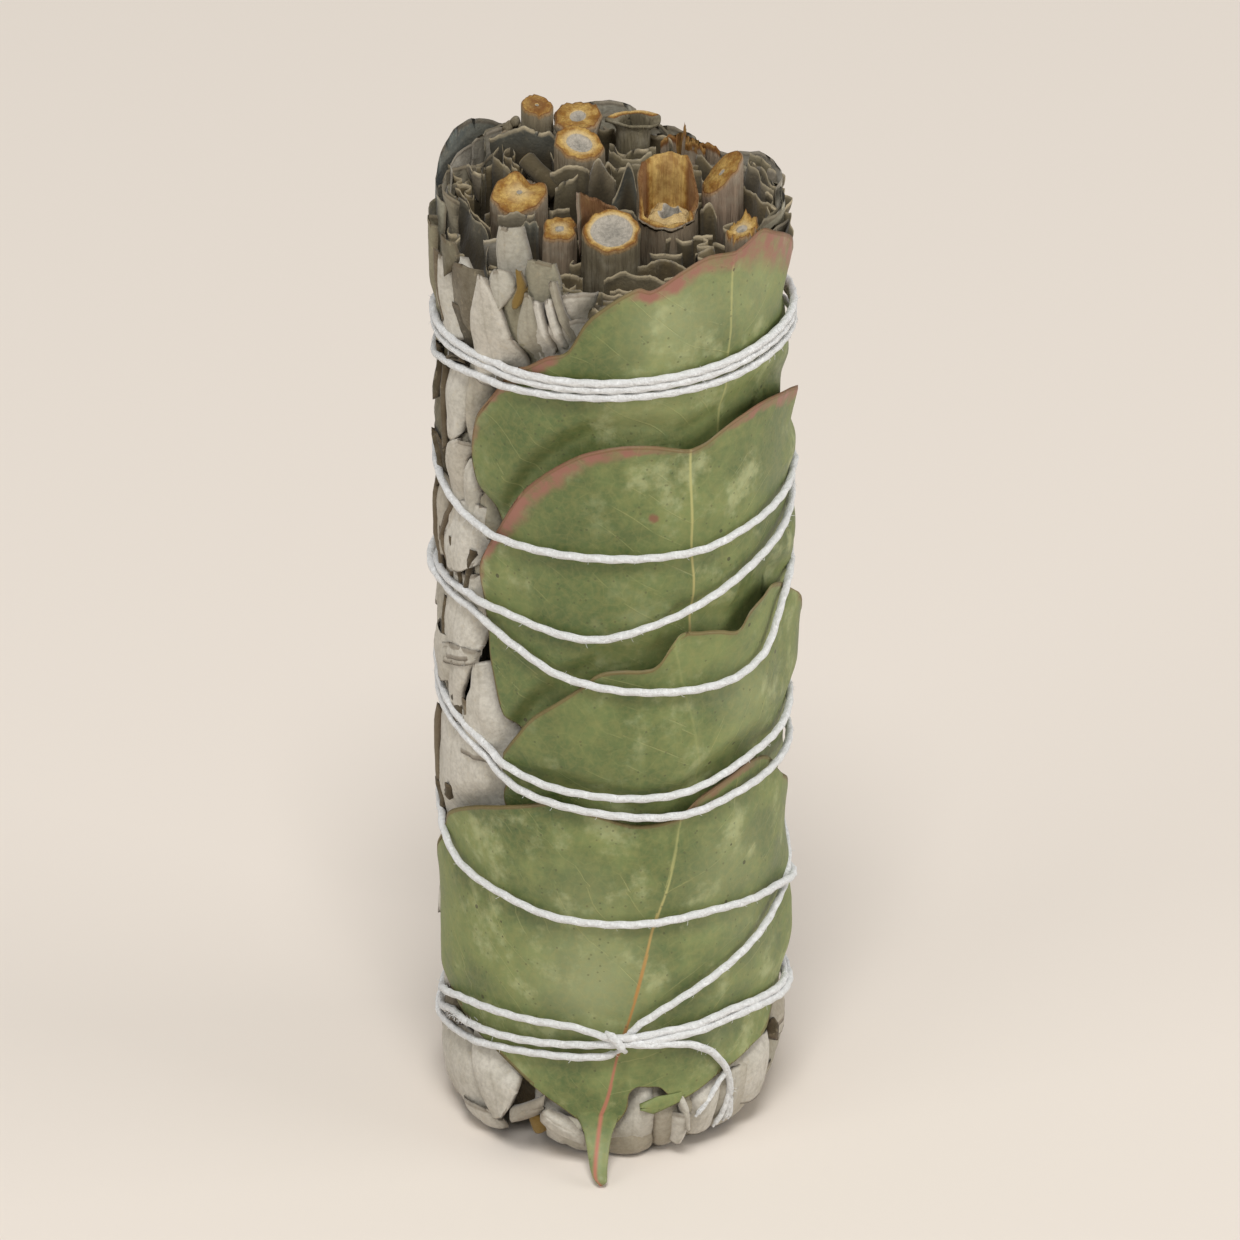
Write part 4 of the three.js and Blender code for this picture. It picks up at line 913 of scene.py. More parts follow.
# %% [markdown]
# ### One laid leaf
# A leaf is given by its left and right edge, as points [angle, height] from its lower end to its
# upper one. `out` says how far its two ends stand off the bunch, `crown` how much it is rounded
# across, `fold` how far the side right of `ridge` turns in, and `bow` how far its two ends arch.

# %% Lay a leaf on the bunch
SAGE_THICKNESS = 0.42
CREASE, WRINKLE = 0.24, 0.08
EDGE_ROLL = 0.35
UNDER_LEAF = 0.97


def add_laid_leaf(bm, left, right, seed, out=(0, 0), crown=0.7, fold=0.0, ridge=0.0, bow=(0.6, 0.6),
                  tone=0.8, net=(10, 18)):
    """A leaf between two edges: crown rounds it, fold bends it in past ridge, bow curves its ends."""
    length = max(abs(left[-1][1] - left[0][1]), abs(right[-1][1] - right[0][1]), 1)

    def place(u, v):
        a, b = smooth_on(left, v), smooth_on(right, v)
        across = 2 * u - 1
        half = abs(arc(b[0] - a[0])) / 2
        wobble = 0.05 * ripple(v * length, across * 3, seed, 2.2)
        angle = mix(a[0], b[0], u + wobble * across * across)
        height = mix(a[1], b[1], u)
        height += (1 - across ** 2) * (bow[1] * v ** 3 - bow[0] * (1 - v) ** 3)
        height += 0.3 * ripple(across * half, 0, seed + 3, 1.3) * (abs(2 * v - 1) ** 4)
        radius = sage_radius(angle, height) + mix(out[0], out[1], v) - crown * abs(across) ** 2.2
        radius -= fold * ramp(ridge, ridge + 1, across) * 1.5 + EDGE_ROLL * ramp(0.8, 1.0, abs(across))
        radius += CREASE * ripple(arc(angle) * 1.6, height * 0.6, seed, 3.0)
        radius += WRINKLE * ripple(arc(angle), height, seed + 5, 0.9)
        radius -= 0.05 * math.exp(-(across / 0.1) ** 2)
        if pressed(angle, height) > UNDER_LEAF:
            radius = min(radius, PRESSED_RADIUS + 0.1)
        edge = min((1 - abs(across)) * half, v * length, (1 - v) * length)
        return (around(angle, max(radius, 12), max(height, 0.15)), (across * half, v * length, seed),
                (edge, tone, 0))

    add_sheet(bm, *net, place, -SAGE_THICKNESS)


def middle_sprig(left, right):
    points = left + right
    angle = sum(point[0] for point in points) / len(points)
    seat = around(angle, CORE_RADIUS, 0)
    return sprig_at(seat.x, seat.y)


def lay(left, right, out, tone, **own):
    """A listed leaf: its side edges as [angle, height], how far foot and tip stand off, tone."""
    return dict(left=left, right=right, out=out, tone=tone, **own)


print("a leaf 24 mm up at the left lies on", round(sage_radius(-80, 24), 2), "mm")

# %% [markdown]
# The leaves that show at the left of the front and at the foot are laid one by one, because each of
# them has its own shape there: broad flaps, rolled fingers, pointed ends and small slivers.

# %% Leaves at the left of the front and at the foot
# leaves with a tone near 0 are nearly black: partly dark scraps, partly painted shade in the hollows between
# leaves
STRIP_LEAVES = [
    lay([[-80, 85.5], [-80, 93.5]], [[-49, 86], [-49, 95]], (-0.5, -0.5), 0.03, crown=0.3),
    lay([[-77, 90.2], [-84, 92], [-84, 93.5], [-80, 96.5], [-72, 98.9]], [[-50.5, 92.8], [-52, 94],
        [-56, 95], [-60, 97.5], [-67, 99.2]], (0.2, 0.5), 0.95, fold=1.3, ridge=-0.1),
    lay([[-76, 89], [-75, 95], [-71, 99]], [[-46, 91], [-46, 97], [-50, 99.8]], (-0.6, -0.2), 0.14,
        crown=0.9),
    lay([[-67, 98.7], [-72, 100.4], [-71, 101.5]], [[-65, 98.7], [-60, 100.6], [-62, 101.8]], (0.3, 0.5),
        0.2, crown=0.6, net=(8, 12)),
    lay([[-92, 73.2], [-91, 78]], [[-77, 73.5], [-75, 77.6]], (0.15, 0.15), 0.05, crown=0.4),
    lay([[-71, 46.6], [-72, 48.4]], [[-60, 48.6], [-61, 51]], (0.5, 0.3), 0.06, crown=0.3),
    lay([[-85, 34.5], [-84, 37.2]], [[-80, 34.8], [-79.5, 37.5]], (0.5, 0.5), 0.03, crown=0.3, net=(8, 8)),
    lay([[-42, 91], [-42, 96], [-39, 99.4]], [[-23, 91], [-23, 96], [-27, 99.8]], (-0.4, -0.2), 0.42,
        crown=0.3),
    lay([[-52, 88.5], [-52, 93], [-50.5, 96.5], [-46.5, 100.2]], [[-30, 89.5], [-31, 93], [-36, 96.8],
        [-43, 100.2]], (0.5, 0.7), 0.92, crown=0.3),
    lay([[-38.5, 98], [-43.5, 99.6], [-42, 100.9]], [[-37, 98], [-32, 99.9], [-35, 101.5]], (0.3, 0.4),
        0.72),
    lay([[-33.5, 98.8], [-31.5, 100.2], [-31, 101.9]], [[-29.5, 99], [-28.3, 100.4], [-30, 102]],
        (0.4, 0.6), 1.5, crown=0.5, net=(8, 12)),
    lay([[-30, 95], [-31.5, 99.5], [-29.5, 103]], [[-18, 96], [-17, 99.5], [-19, 103]], (-0.6, -0.3), 0.5),
    lay([[-44, 97], [-46, 102], [-44, 105]], [[-34, 97], [-33, 102], [-36, 105.3]], (-1.4, -1.2), 0.7,
        fold=0.8, ridge=0.1),
    lay([[-31, 90], [-33, 94.5], [-29.5, 99.3]], [[-18, 91], [-22, 96.5], [-26, 99.3]], (-0.3, 0.1), 0.6,
        crown=0.3),
    lay([[-21, 93.9], [-25.8, 98.9]], [[-18.6, 94], [-22.3, 99]], (0.6, 0.6), 1.05),
    lay([[-17.3, 94], [-21.6, 99.2]], [[-14.5, 94.2], [-18.6, 99.5]], (0.6, 0.6), 1.05),
    lay([[-14, 94.5], [-20.5, 101]], [[-12, 95], [-18, 101.4]], (0.3, 0.4), 0.6),
    lay([[-13, 95], [-17.5, 99.8]], [[-10.5, 95], [-4.5, 99.8]], (-0.7, -0.5), 0.9, crown=0.2),
    lay([[-98, 72], [-99, 84], [-98, 93]], [[-76, 73], [-75, 83], [-75, 93]], (0, 0), 0.22),
    lay([[-69, 81], [-73, 84], [-72, 87.2]], [[-58, 81.5], [-54.5, 85], [-53, 88.6]], (0.35, 0), 0.92,
        bow=(1.2, 0.5)),
    lay([[-55, 79], [-57.5, 83], [-57, 89]], [[-51, 79], [-48, 84], [-43, 90]], (0.1, 0), 0.72),
    lay([[-68, 76], [-71, 79], [-71, 84]], [[-59, 76], [-57, 79.5], [-57, 84]], (-0.2, -0.4), 0.62),
    lay([[-70, 70], [-73, 74], [-69, 78.5], [-60, 80.3]], [[-59, 70.5], [-58, 75], [-56, 78.3], [-53, 80]],
        (0.1, 0.6), 0.85, crown=1),
    lay([[-58, 71], [-61, 74], [-56, 78]], [[-52, 71.5], [-51, 75], [-51.5, 78]], (0.2, 0.1), 0.8,
        crown=0.9),
    lay([[-54, 70.5], [-53, 73]], [[-41, 71], [-47, 75.5]], (-0.4, -0.4), 0.55),
    lay([[-70, 65.5], [-72, 68], [-72, 72]], [[-50, 67.3], [-48, 69.5], [-46, 73.5]], (0.7, 0), 0.95,
        bow=(0.8, 0.5), crown=0.6),
    lay([[-88, 65], [-90, 68], [-86, 73]], [[-75, 65], [-73, 69], [-74, 73.5]], (0.2, 0), 0.75),
    lay([[-71, 61.5], [-74, 65], [-74, 68]], [[-65, 62], [-62, 65], [-61, 68.5]], (0, 0), 0.9, crown=0.9),
    lay([[-66, 60], [-65, 64], [-63, 68]], [[-61, 60], [-56, 64.5], [-52, 68.5]], (-0.2, -0.2), 0.42,
        fold=0.5),
    lay([[-58, 60], [-57, 66]], [[-48, 61], [-47, 68]], (-0.3, -0.3), 0.6),
    lay([[-75, 54.5], [-77, 58], [-77, 63]], [[-49, 57], [-47, 60], [-45, 66]], (0.6, 0.1), 0.9,
        bow=(0.5, 0.4), crown=0.5),
    lay([[-74, 53.8], [-75, 55]], [[-50, 56.3], [-49, 57.4]], (0.45, 0.5), 0.8, bow=(0.5, 0.5), crown=0.3,
        net=(10, 5)),
    lay([[-85, 50.6], [-90, 53.5], [-85, 56]], [[-68, 51.8], [-60, 54.5], [-61, 56.8]], (0.8, 0.5), 0.82,
        bow=(0.5, 0.3), crown=1.1),
    lay([[-98, 52], [-99, 64]], [[-80, 53], [-79, 66]], (-0.1, 0), 0.75),
    lay([[-86, 44], [-87, 52]], [[-71, 45], [-70, 53]], (-0.3, -0.3), 0.7),
    lay([[-73, 47.8], [-71, 52.3], [-67, 55.5]], [[-60, 49.9], [-56, 53], [-51, 56]], (0.4, 0.2), 0.97,
        bow=(0, 0.4), crown=0.3),
    lay([[-62, 44.5], [-62, 48], [-55, 52], [-51, 55.6]], [[-36, 45.5], [-35, 48.8], [-40, 52.5],
        [-45.5, 56.4]], (0.4, 0.5), 1, bow=(0, 0.3), crown=0.35, fold=0.3, ridge=-0.2),
    lay([[-92, 31], [-93, 37], [-89, 43], [-84, 47.5]], [[-40, 37], [-40, 42], [-42, 46], [-52, 49]],
        (0.1, 0.2), 0.96, crown=0.6, net=(20, 18)),
    lay([[-112, 29], [-112, 46]], [[-91, 29], [-89, 46]], (0.1, -0.2), 0.7),
    lay([[-110, 10], [-112, 31]], [[-89, 10], [-91, 31]], (0, 0), 0.75),
    lay([[-104, 92], [-103, 101.2]], [[-90, 92], [-88, 100.2]], (0, 0.5), 0.3),
    lay([[-93, 88], [-95, 95], [-94, 100.6]], [[-82, 88], [-84, 95], [-86, 100.4]], (0.1, 0.6), 0.36),
]
# thin dark slivers between the leaves: partly stalks, partly painted shade in the gaps
STALK_AND_SHADE_SLIVERS = [((-71, 93), (-75, 99.2), 2), ((-79, 83), (-80, 88), 4), ((-67, 89), (-58, 89.4), 3),
             ((-68.5, 79), (-71, 87), 2), ((-80, 73), (-81, 78), 3), ((-79, 62), (-81, 72), 2),
             ((-67, 64), (-72, 68.2), 1.6), ((-72, 68), (-65, 72), 1.6), ((-56.5, 64.5), (-52, 68.4), 1.8),
             ((-60, 64.5), (-63, 68.5), 1.6), ((-70, 55.8), (-71, 60.5), 1.6), ((-81, 37.5), (-82, 46), 2),
             ((-57.5, 48.3), (-56.5, 50.4), 4), ((-70.5, 37.8), (-69, 38.7), 3), ((-80, 29), (-82, 36), 2)]


def stalk_and_shade_sliver(foot, tip, width):
    """A thin dark sliver, part stalk and part painted gap shade, from its foot to its tip as [angle, height].
    """
    left = [[foot[0] - width / 2, foot[1]], [tip[0] - width / 2, tip[1]]]
    right = [[foot[0] + width / 2, foot[1]], [tip[0] + width / 2, tip[1]]]
    return lay(left, right, (0.5, 0.5), 0.1, crown=0.35, net=(4, 12))


BROAD_LEAF = lay([[-126, 80], [-144, 87], [-147, 95], [-144, 104.5]],
                 [[-115, 80], [-99, 87], [-95.5, 94], [-98.5, 102.3]],
                 (0.8, 0.3), -1, bow=(0, 3.3), crown=0.3, net=(24, 16))
# a tone near 0 here too is partly a dark scrap, partly painted shade in a hollow
FOOT_LEAVES = [
    lay([[-93, 0.3], [-95, 5], [-93, 12]], [[-43, 2.4], [-50, 5.5], [-60, 10.2]], (1.3, -0.3), 1, crown=0.5,
        net=(18, 16)),
    lay([[-44, 3], [-51, 6.4], [-61, 12.5]], [[-35, 5.4], [-32, 8.6], [-40, 13]], (1.5, 0.1), 0.97,
        crown=0.4),
    lay([[-67, 0.2], [-64, 2.2]], [[-42, 1.2], [-45, 3.2]], (1.8, 1.4), 0.98, crown=0.9, net=(16, 8)),
    lay([[-34, 3.8], [-28, 4.7], [-22.5, 6]], [[-35.5, 5], [-29, 6.3], [-23, 7.3]], (1.4, 1.4), 0.75,
        crown=0.6),
    lay([[-32, 2.4], [-32, 4]], [[-24.5, 2.8], [-24, 4.4]], (0.2, 0.2), 1.5, crown=0.8),
    lay([[-9, 2.6], [-17, 3.2], [-24, 4.4]], [[-8.5, 3.6], [-13, 4.9], [-21, 6.2]], (1.8, 1.5), 0.97,
        crown=0.5),
    lay([[-19, 1.2], [-20, 4.6]], [[-4, 0.7], [-5, 5]], (1, 0.9), 0.68, crown=1.2),
    lay([[-4, 0.5], [-5, 4], [-2, 8.6]], [[18, 0.5], [21, 4], [19, 8.8]], (1.9, -2.2), 0.6, crown=1.3,
        fold=0.5, net=(18, 16)),
    lay([[20.5, 1.8], [20, 5.2]], [[27, 2], [28, 4.6]], (1.5, 1.3), 0.92, crown=1.8),
    lay([[24, 4.2], [22, 6.8]], [[26.5, 4.2], [25, 7.4]], (1.8, 1.2), 0.85, crown=1),
    lay([[27, 2.2], [27, 7.4]], [[40, 2.4], [41, 8.4]], (0.8, 0.2), 1, crown=1),
    lay([[39, 1.6], [39, 7.5]], [[51, 1.8], [53, 8]], (0.3, 0), 0.75),
    lay([[49, 3.6], [48, 9.8]], [[73, 3.6], [77, 9]], (0.7, 0), 0.95, fold=0.8, net=(16, 14)),
    lay([[51, 0.3], [54, 4.4]], [[80, 0.3], [82, 4.8]], (0, 0), 0.6, crown=1.1),
    lay([[66, 9.3], [67, 10.3]], [[73, 9.4], [72, 10.4]], (0.6, 0.6), 0.06, net=(8, 8)),
    lay([[76, 8], [76, 14]], [[92, 8], [92, 14.4]], (0.1, -0.2), 0.95),
    lay([[80, 0.4], [82, 8]], [[100, 0.4], [101, 8.5]], (0, -0.2), 0.75),
    lay([[-88, 9.6], [-86, 12]], [[-58, 12.2], [-60, 14.4]], (0.3, 0.3), 0.03, crown=0.3),
]
print("leaves laid one by one:", len(STRIP_LEAVES + FOOT_LEAVES) + 1)

# %% [markdown]
# All the other outside leaves follow one rule: columns of leaves like tiles, tips down, each a
# little different by its draw. A second, deeper layer shows in the gaps of the first, and it gets a
# lower tone as painted shade.

# %% The other outside leaves
LEAF_WIDTH, LEAF_OVERLAP = 6.6, 1.6
LEAF_LENGTH, ROW_PITCH = 24, 18
STRIP_FIRST, STRIP_LAST = -97, -16
HIDDEN_DEPTH = 2.2


def outer_stretches(number):
    """The stretches of the outside that belong to a sprig, as [first angle, last angle]."""
    own = [a for a in range(-180, 180) if sprig_at(*around(a, CORE_RADIUS, 0).xy) == number]
    runs = []
    for angle in own:
        if runs and runs[-1][1] == angle - 1:
            runs[-1][1] = angle
        else:
            runs.append([angle, angle])
    if len(runs) > 1 and runs[0][0] == -180 and runs[-1][1] == 179:
        runs[0][0] = runs.pop()[0] - 360
    return [run for run in runs if run[1] - run[0] > 5]


def tile_edges(angle, tip, end, width, seed):
    """Left and right edge of a leaf that hangs with its tip down."""
    lean = between(-8, 8, seed + 0.3)
    kind = draw(seed + 0.9)
    tip_width = 0.15 if kind < 0.45 else 0.55 if kind < 0.8 else 0.85
    if tip < FOOT_HEIGHT / 2:
        tip_width = 0.75
    left, right = [], []
    for share in (0, 0.12, 0.3, 0.55, 0.8, 1):
        fullness = mix(tip_width, 1, math.sin(min(1, share / 0.5) * math.pi / 2))
        half = math.degrees(width / 2 / LEAF_OVER) * fullness
        middle = angle + lean * (share - 0.5)
        height = mix(tip, end, share)
        left.append([middle - half * between(0.85, 1.1, seed + share), height])
        right.append([middle + half * between(0.85, 1.1, seed + share + 7), height])
    return left, right


def tile_leaves(number):
    """Settings of the leaves round the outside of a sprig."""
    leaves = []
    for stretch, (first, last) in enumerate(outer_stretches(number)):
        length = math.radians(last - first) * LEAF_OVER
        columns = max(1, round(length / LEAF_WIDTH))
        width = length / columns + LEAF_OVERLAP
        for column in range(-1, 2 * columns):
            angle = mix(first, last, (column + 1) / (2 * columns))
            upper = column % 2 == 0
            rim = around(angle, CORE_RADIUS, 0)
            top = top_at(rim.x, rim.y)
            offset = ((number + column + stretch) % 2) * ROW_PITCH / 2
            for row in range(-1, math.ceil(top / ROW_PITCH) + 1):
                seed = number * 31.7 + stretch * 11.3 + column * 5.9 + row * 1.31
                tip = max(between(0.3, 1.6, seed), offset + row * ROW_PITCH + between(-3, 3, seed))
                is_top = tip + ROW_PITCH > top - 7
                end = top + between(-2, 1, seed + 0.7) if is_top else tip + LEAF_LENGTH
                sampled = [depth_inside(angle, mix(tip, end, t)) for t in (0.15, 0.5, 0.9)]
                in_strip = STRIP_FIRST < angle < STRIP_LAST and end > 14
                if min(sampled) < HIDDEN_DEPTH and not in_strip and tip < top - 4:
                    left, right = tile_edges(angle, tip, end, width, seed)
                    level = between(-0.1, 0.3, seed + 2) if upper else between(-0.7, -0.35, seed + 2)
                    tuck = 0.2 if is_top else between(0.4, 1.0, seed + 3)
                    # the deeper layer sits lower, and its tone is lowered as painted shade
                    leaves.append(dict(left=left, right=right, seed=seed,
                                       out=(level + between(0.1, 0.5, seed + 4), level - tuck),
                                       crown=between(0.3, 1.3, seed + 5),
                                       fold=between(-0.4, 0.9, seed + 6), ridge=between(-0.4, 0.4, seed + 8),
                                       tone=between(0.5, 1.0, seed + 1) * (1 if upper else 0.8)))
                if is_top:
                    break
    return leaves


print("leaves on the last sprig:", len(tile_leaves(15)))

# %% [markdown]
# ### The cut leaf ends on top
# The bunch was trimmed, so the top shows leaves cut across: rolled, folded and stacked sheets that
# stand upright with thin pale rims. Each is a sheet under its top edge, a smooth line in space. The
# ones that give the top its look are set one by one, and rolls and waves fill the rest.

# %% Standing leaves
def cut(edge, tone, **own):
    """A listed standing leaf: its top edge as [x, y, height] and its tone."""
    return dict(edge=edge, tone=tone, **own)


STANDING_LEAVES = [
    cut([[-12.6, 12.4, 104.8], [-11, 11.4, 105.9], [-9, 10.5, 106.6], [-6.8, 10.2, 106.4],
        [-5.7, 11, 105.4]], -1, ruffle=0.1),
    cut([[-2.7, 5.5, 103.2], [-1.7, 5.1, 105.2], [-0.7, 5.2, 104.6], [0.2, 5.7, 103]], 0.8, depth=6),
    cut([[-6.4, 6.2, 103.2], [-5, 5.6, 104.4], [-3.4, 5.3, 104.9], [-2.3, 5.5, 104]], 0.4),
    cut([[-16.9, 8.7, 102.6], [-15.6, 10.6, 102.4], [-12.9, 11.5, 102.6], [-11.6, 14.8, 104.2]], 0.3),
    cut([[-16.9, 7.2, 102.2], [-14.8, 9.4, 102], [-12.2, 10.3, 102.6]], 0.24),
    cut([[-16.6, 5.9, 102.2], [-14.9, 7.8, 101.8], [-13, 8.6, 102.4]], 0.33),
    cut([[-16.9, 8.2, 103.4], [-16, 7.4, 103.3], [-16.4, 6.4, 103.1], [-15.2, 6.2, 103], [-15.7, 5, 102.8],
        [-14.6, 4.9, 102.6], [-15, 3.8, 102.4], [-14, 3.4, 102.2]], 0.36),
    cut([[-15, 7.6, 103.6], [-14.2, 6.9, 103.9], [-13.6, 6, 103.5]], 1, depth=3),
    cut([[-11.8, 12.2, 104.2], [-12.1, 9.5, 103.7], [-10.8, 6.4, 103.2]], 0.42),
    cut([[-11.2, 12.2, 104.3], [-11.5, 9.5, 103.9], [-10.2, 6.6, 103.3]], 0.5),
    cut([[-10.6, 12.1, 104.3], [-10.9, 9.6, 103.9], [-9.8, 7, 103.4]], 0.4),
    cut([[-10, 12, 104.2], [-10.2, 9.8, 103.8], [-9.3, 7.8, 103.4]], 0.3),
    cut([[-8.4, 10.6, 103.9], [-6.8, 10.9, 104], [-5.7, 9.9, 103.4], [-5.2, 8, 102.8], [-4.2, 6.9, 102.8],
        [-3.2, 7.3, 103.4]], 0.3),
    cut([[-3.2, 7.6, 103.9], [-2.6, 7.3, 104], [-1.7, 7.2, 103.5]], 0.85, lean=(-1, 1.2)),
    cut([[-5.9, 4.6, 102.7], [-4.6, 5, 103.2], [-3, 5.6, 104.2]], 0.34, lean=(0.4, 0.8)),
    cut([[-8.1, 12.4, 103.6], [-7.4, 12.6, 106], [-6.6, 12.4, 103.6]], 0.45, depth=6),
    cut([[-12.8, -3.7, 100.7], [-11.9, -4.2, 101], [-11, -4.7, 100], [-10.4, -5.2, 98]], 0.85,
        lean=(0.2, 0.8)),
    cut([[-11.1, -3.2, 101.3], [-10, -3.3, 101.2], [-9.2, -4.1, 100.2], [-8.9, -4.9, 98.4]], 0.6),
    cut([[-9.2, -2.2, 101.3], [-8.3, -2, 101.7], [-7.4, -2.1, 101.3]], -1, lean=(0, 0.5)),
    cut([[-11.5, -0.5, 101.8], [-10.4, -1.1, 102.2], [-8.7, -0.9, 102], [-7.8, 0, 101.9]], 0.6,
        lean=(0.1, 0.9)),
    cut([[-16.7, 3.8, 102.8], [-15.5, 2.2, 102.4], [-14.3, 0.4, 101.9], [-13.1, -2, 101.2],
        [-12.6, -4.6, 100], [-12.5, -7, 98]], -0.6, lean=(1.6, 1.2), depth=9),
    cut([[-16, 4.6, 102.7], [-14.8, 3, 102.2], [-13.5, 1, 101.7], [-12.3, -1.8, 101]], 0.45),
    cut([[-0.3, 12.6, 104], [1, 11.2, 103.6], [2.9, 11, 103.8], [4.6, 11.6, 104]], 0.36),
    cut([[-0.6, 11, 103.8], [0.8, 9.8, 103.4], [2.6, 9.9, 103.6], [4.2, 10.3, 103.6]], 0.4),
    cut([[0.2, 14.4, 104.6], [2.2, 13.9, 104.3], [4.8, 13.8, 104.4], [6.4, 12.2, 104.2]], 0.3),
    cut([[-0.8, 9.2, 103.2], [0.6, 8.2, 103.2], [2.6, 8.6, 103.4], [3.4, 7.4, 103]], 0.3),
    cut([[0, 4.4, 101], [0.6, 4.7, 103], [1.6, 5.1, 105.2], [2.3, 4.9, 103.8], [2.9, 4.6, 101.6]], -1,
        depth=8, lean=(0.3, 0.8)),
    cut([[-1.4, 6.2, 102.2], [-0.5, 6.5, 104.3], [0.3, 6.2, 102.6]], 0.25, lean=(-0.5, 0.8)),
    cut([[9, 1.2, 101.4], [9.9, 1, 102.6], [10.8, 0.8, 101.2]], 0.3, lean=(0, 0.6)),
    cut([[13.8, 8.9, 103.8], [15, 5.9, 103.1], [16.3, 3, 102.6]], 0.6),
    cut([[14.4, 9, 103.8], [15.5, 6.5, 103.2], [16.8, 4.2, 102.7]], 0.5),
    cut([[13.4, 5.4, 102.3], [14.6, 3.1, 102], [16.6, 1.2, 101.8]], 0.16, lean=(0.8, 0.8)),
    cut([[14.1, 9.9, 104], [14.6, 8.9, 103.9], [15.5, 9, 103.9], [16, 7.7, 103.5]], 0.4),
    cut([[15.8, 7, 103.3], [16.9, 6.6, 103.5], [17.5, 6, 103]], 0.92, depth=5),
    cut([[16.6, 5.2, 102.6], [17.6, 4.4, 102.6], [17.2, 3.2, 102.2], [18, 2.4, 102.2], [17.5, 1, 101.8],
        [18.2, 0.2, 101.6], [17.7, -1.4, 101.2], [18.1, -2.6, 101]], 0.45),
    cut([[16, 4.2, 102.4], [16.9, 3, 102.3], [16.5, 1.6, 101.9], [17.2, 0.4, 101.7], [16.8, -1.2, 101.3],
        [17.2, -2.6, 101]], 0.3),
    cut([[15.3, 2.6, 102], [15.9, 1.2, 101.8], [15.6, -0.4, 101.4], [16.2, -1.8, 101.1]], 0.2),
    cut([[2.6, -6.6, 98.8], [4.2, -5.8, 98.9], [5.9, -5.6, 99], [7.6, -6.8, 98.6]], 0.1, lean=(0, 1.2)),
    cut([[-0.9, -9.1, 98.6], [1.2, -8.6, 99], [3.8, -8.7, 98.8], [5.8, -9.6, 98.2]], 0.42, lean=(0, 1.5)),
    cut([[-1.8, -10.8, 97.8], [0.6, -11, 97.8], [3, -11.4, 97.4]], 0.6, lean=(0, 1.5)),
    cut([[-9, -8.4, 99], [-7.2, -8.8, 99.3], [-5.4, -8.6, 99]], 0.62, lean=(0, 0.8)),
    cut([[-5.6, -9.2, 98.6], [-4.2, -8.8, 99], [-3, -9.3, 98.6]], 0.5, lean=(0, 1)),
    cut([[-12.3, -8.7, 99.2], [-10.8, -9.2, 99.4], [-9.4, -9.6, 98.9]], 0.85, lean=(0.3, 0.8)),
]
END_THICKNESS = 0.3
ENDS_INSIDE = 15.6
END_SPACING = 3.1
END_DEPTH = 7.5
RUFFLE = 0.25
RIM_RINGS = [(13.2, 20, 0.4), (14.7, 17, 0), (16.1, 19, -0.2)]  # radius, degrees apart, height
BROKEN_STALK = {"first": (-8.9, 8.8, 103.9), "last": (-5.4, 6, 101.2)}
STALK_SHAPE = [(0, 0.55), (0, 0.85), (0.05, 1), (0.35, 0.95), (0.7, 1.1), (1, 1.2)]  # share, radius


def add_standing(bm, edge, seed, depth=END_DEPTH, lean=(0, 0), tone=0.4, ruffle=RUFFLE, columns=18):
    """A sheet hanging under its top edge [x, y, height]; lean shifts that edge against the foot."""
    waves = between(1.0, 2.4, seed + 1)
    length = (Vector(smooth_on(edge, 1)) - Vector(smooth_on(edge, 0))).length + 1

    def place(u, v):
        x, y, top = smooth_on(edge, u)
        near, far = Vector(smooth_on(edge, max(0, u - 0.02))), Vector(smooth_on(edge, min(1, u + 0.02)))
        run = (far - near).xy.normalized()
        free = ramp(0, 1, v)
        aside = ruffle * free * math.sin(2 * math.pi * (waves * u + draw(seed + 2)))
        aside += 0.25 * ripple(u * length, v * 5, seed, 2) + 0.8 * (draw(seed + 3) - 0.5) * ramp(0.7, 1.2, v)
        notch = 0.5 * ripple(u * length, 0, seed + 4, 1.6) + 0.18 * ripple(u * length, 0, seed + 5, 0.5)
        height = mix(top - depth, top + notch, v)
        spot = Vector((x, y)) + Vector((run.y, -run.x)) * aside - Vector(lean) * (1 - free)
        reach = max(spot.length, ENDS_INSIDE)
        spot *= mix(ENDS_INSIDE, reach, free) / reach
        return (spot.x, spot.y, height), (u * length, v * depth, seed), ((1 - v) * depth, tone, 1)

    add_sheet(bm, columns, 10, place, END_THICKNESS)


def rolled_edge(x, y, top, seed):
    """The edge of a leaf rolled round itself."""
    turn, radius = between(0, 2 * math.pi, seed), between(1.0, 2.0, seed + 1)
    opening, squash = between(2.4, 6.2, seed + 3), between(0.5, 1, seed + 6)
    edge = []
    for k in range(7):
        phi = turn + opening * (k / 6 - 0.5)
        size = radius * (1 + 0.5 * (k / 6 - 0.5))
        edge.append([x + size * math.cos(phi), y + squash * size * math.sin(phi), top])
    return edge


def waved_edge(x, y, top, seed):
    """The edge of a leaf folded to and fro."""
    turn, length = between(0, 2 * math.pi, seed), between(3.5, 6.5, seed + 1)
    swing = between(0.3, 1.0, seed + 3)
    edge = []
    for k in range(6):
        along, aside = (k / 5 - 0.5) * length, swing * math.sin(2.6 * (k - 2.5))
        edge.append([x + along * math.cos(turn) - aside * math.sin(turn),
                     y + along * math.sin(turn) + aside * math.cos(turn), top])
    return edge


def rim_edge(angle, radius, width, top, seed):
    """The edge of a leaf that runs round the rim of the bunch."""
    edge = []
    for k in range(6):
        spot = around(angle + width * (k / 5 - 0.5), radius + 0.4 * math.sin(1.9 * k + seed), 0)
        edge.append([spot.x, spot.y, top + TOP_SLOPE * (spot.y + radius * math.cos(math.radians(angle)))])
    return edge


def clear_of_leaves(x, y, gap):
    places = [smooth_on(leaf["edge"], k / 4) for leaf in STANDING_LEAVES for k in range(5)]
    return all(math.hypot(x - place[0], y - place[1]) > gap for place in places)


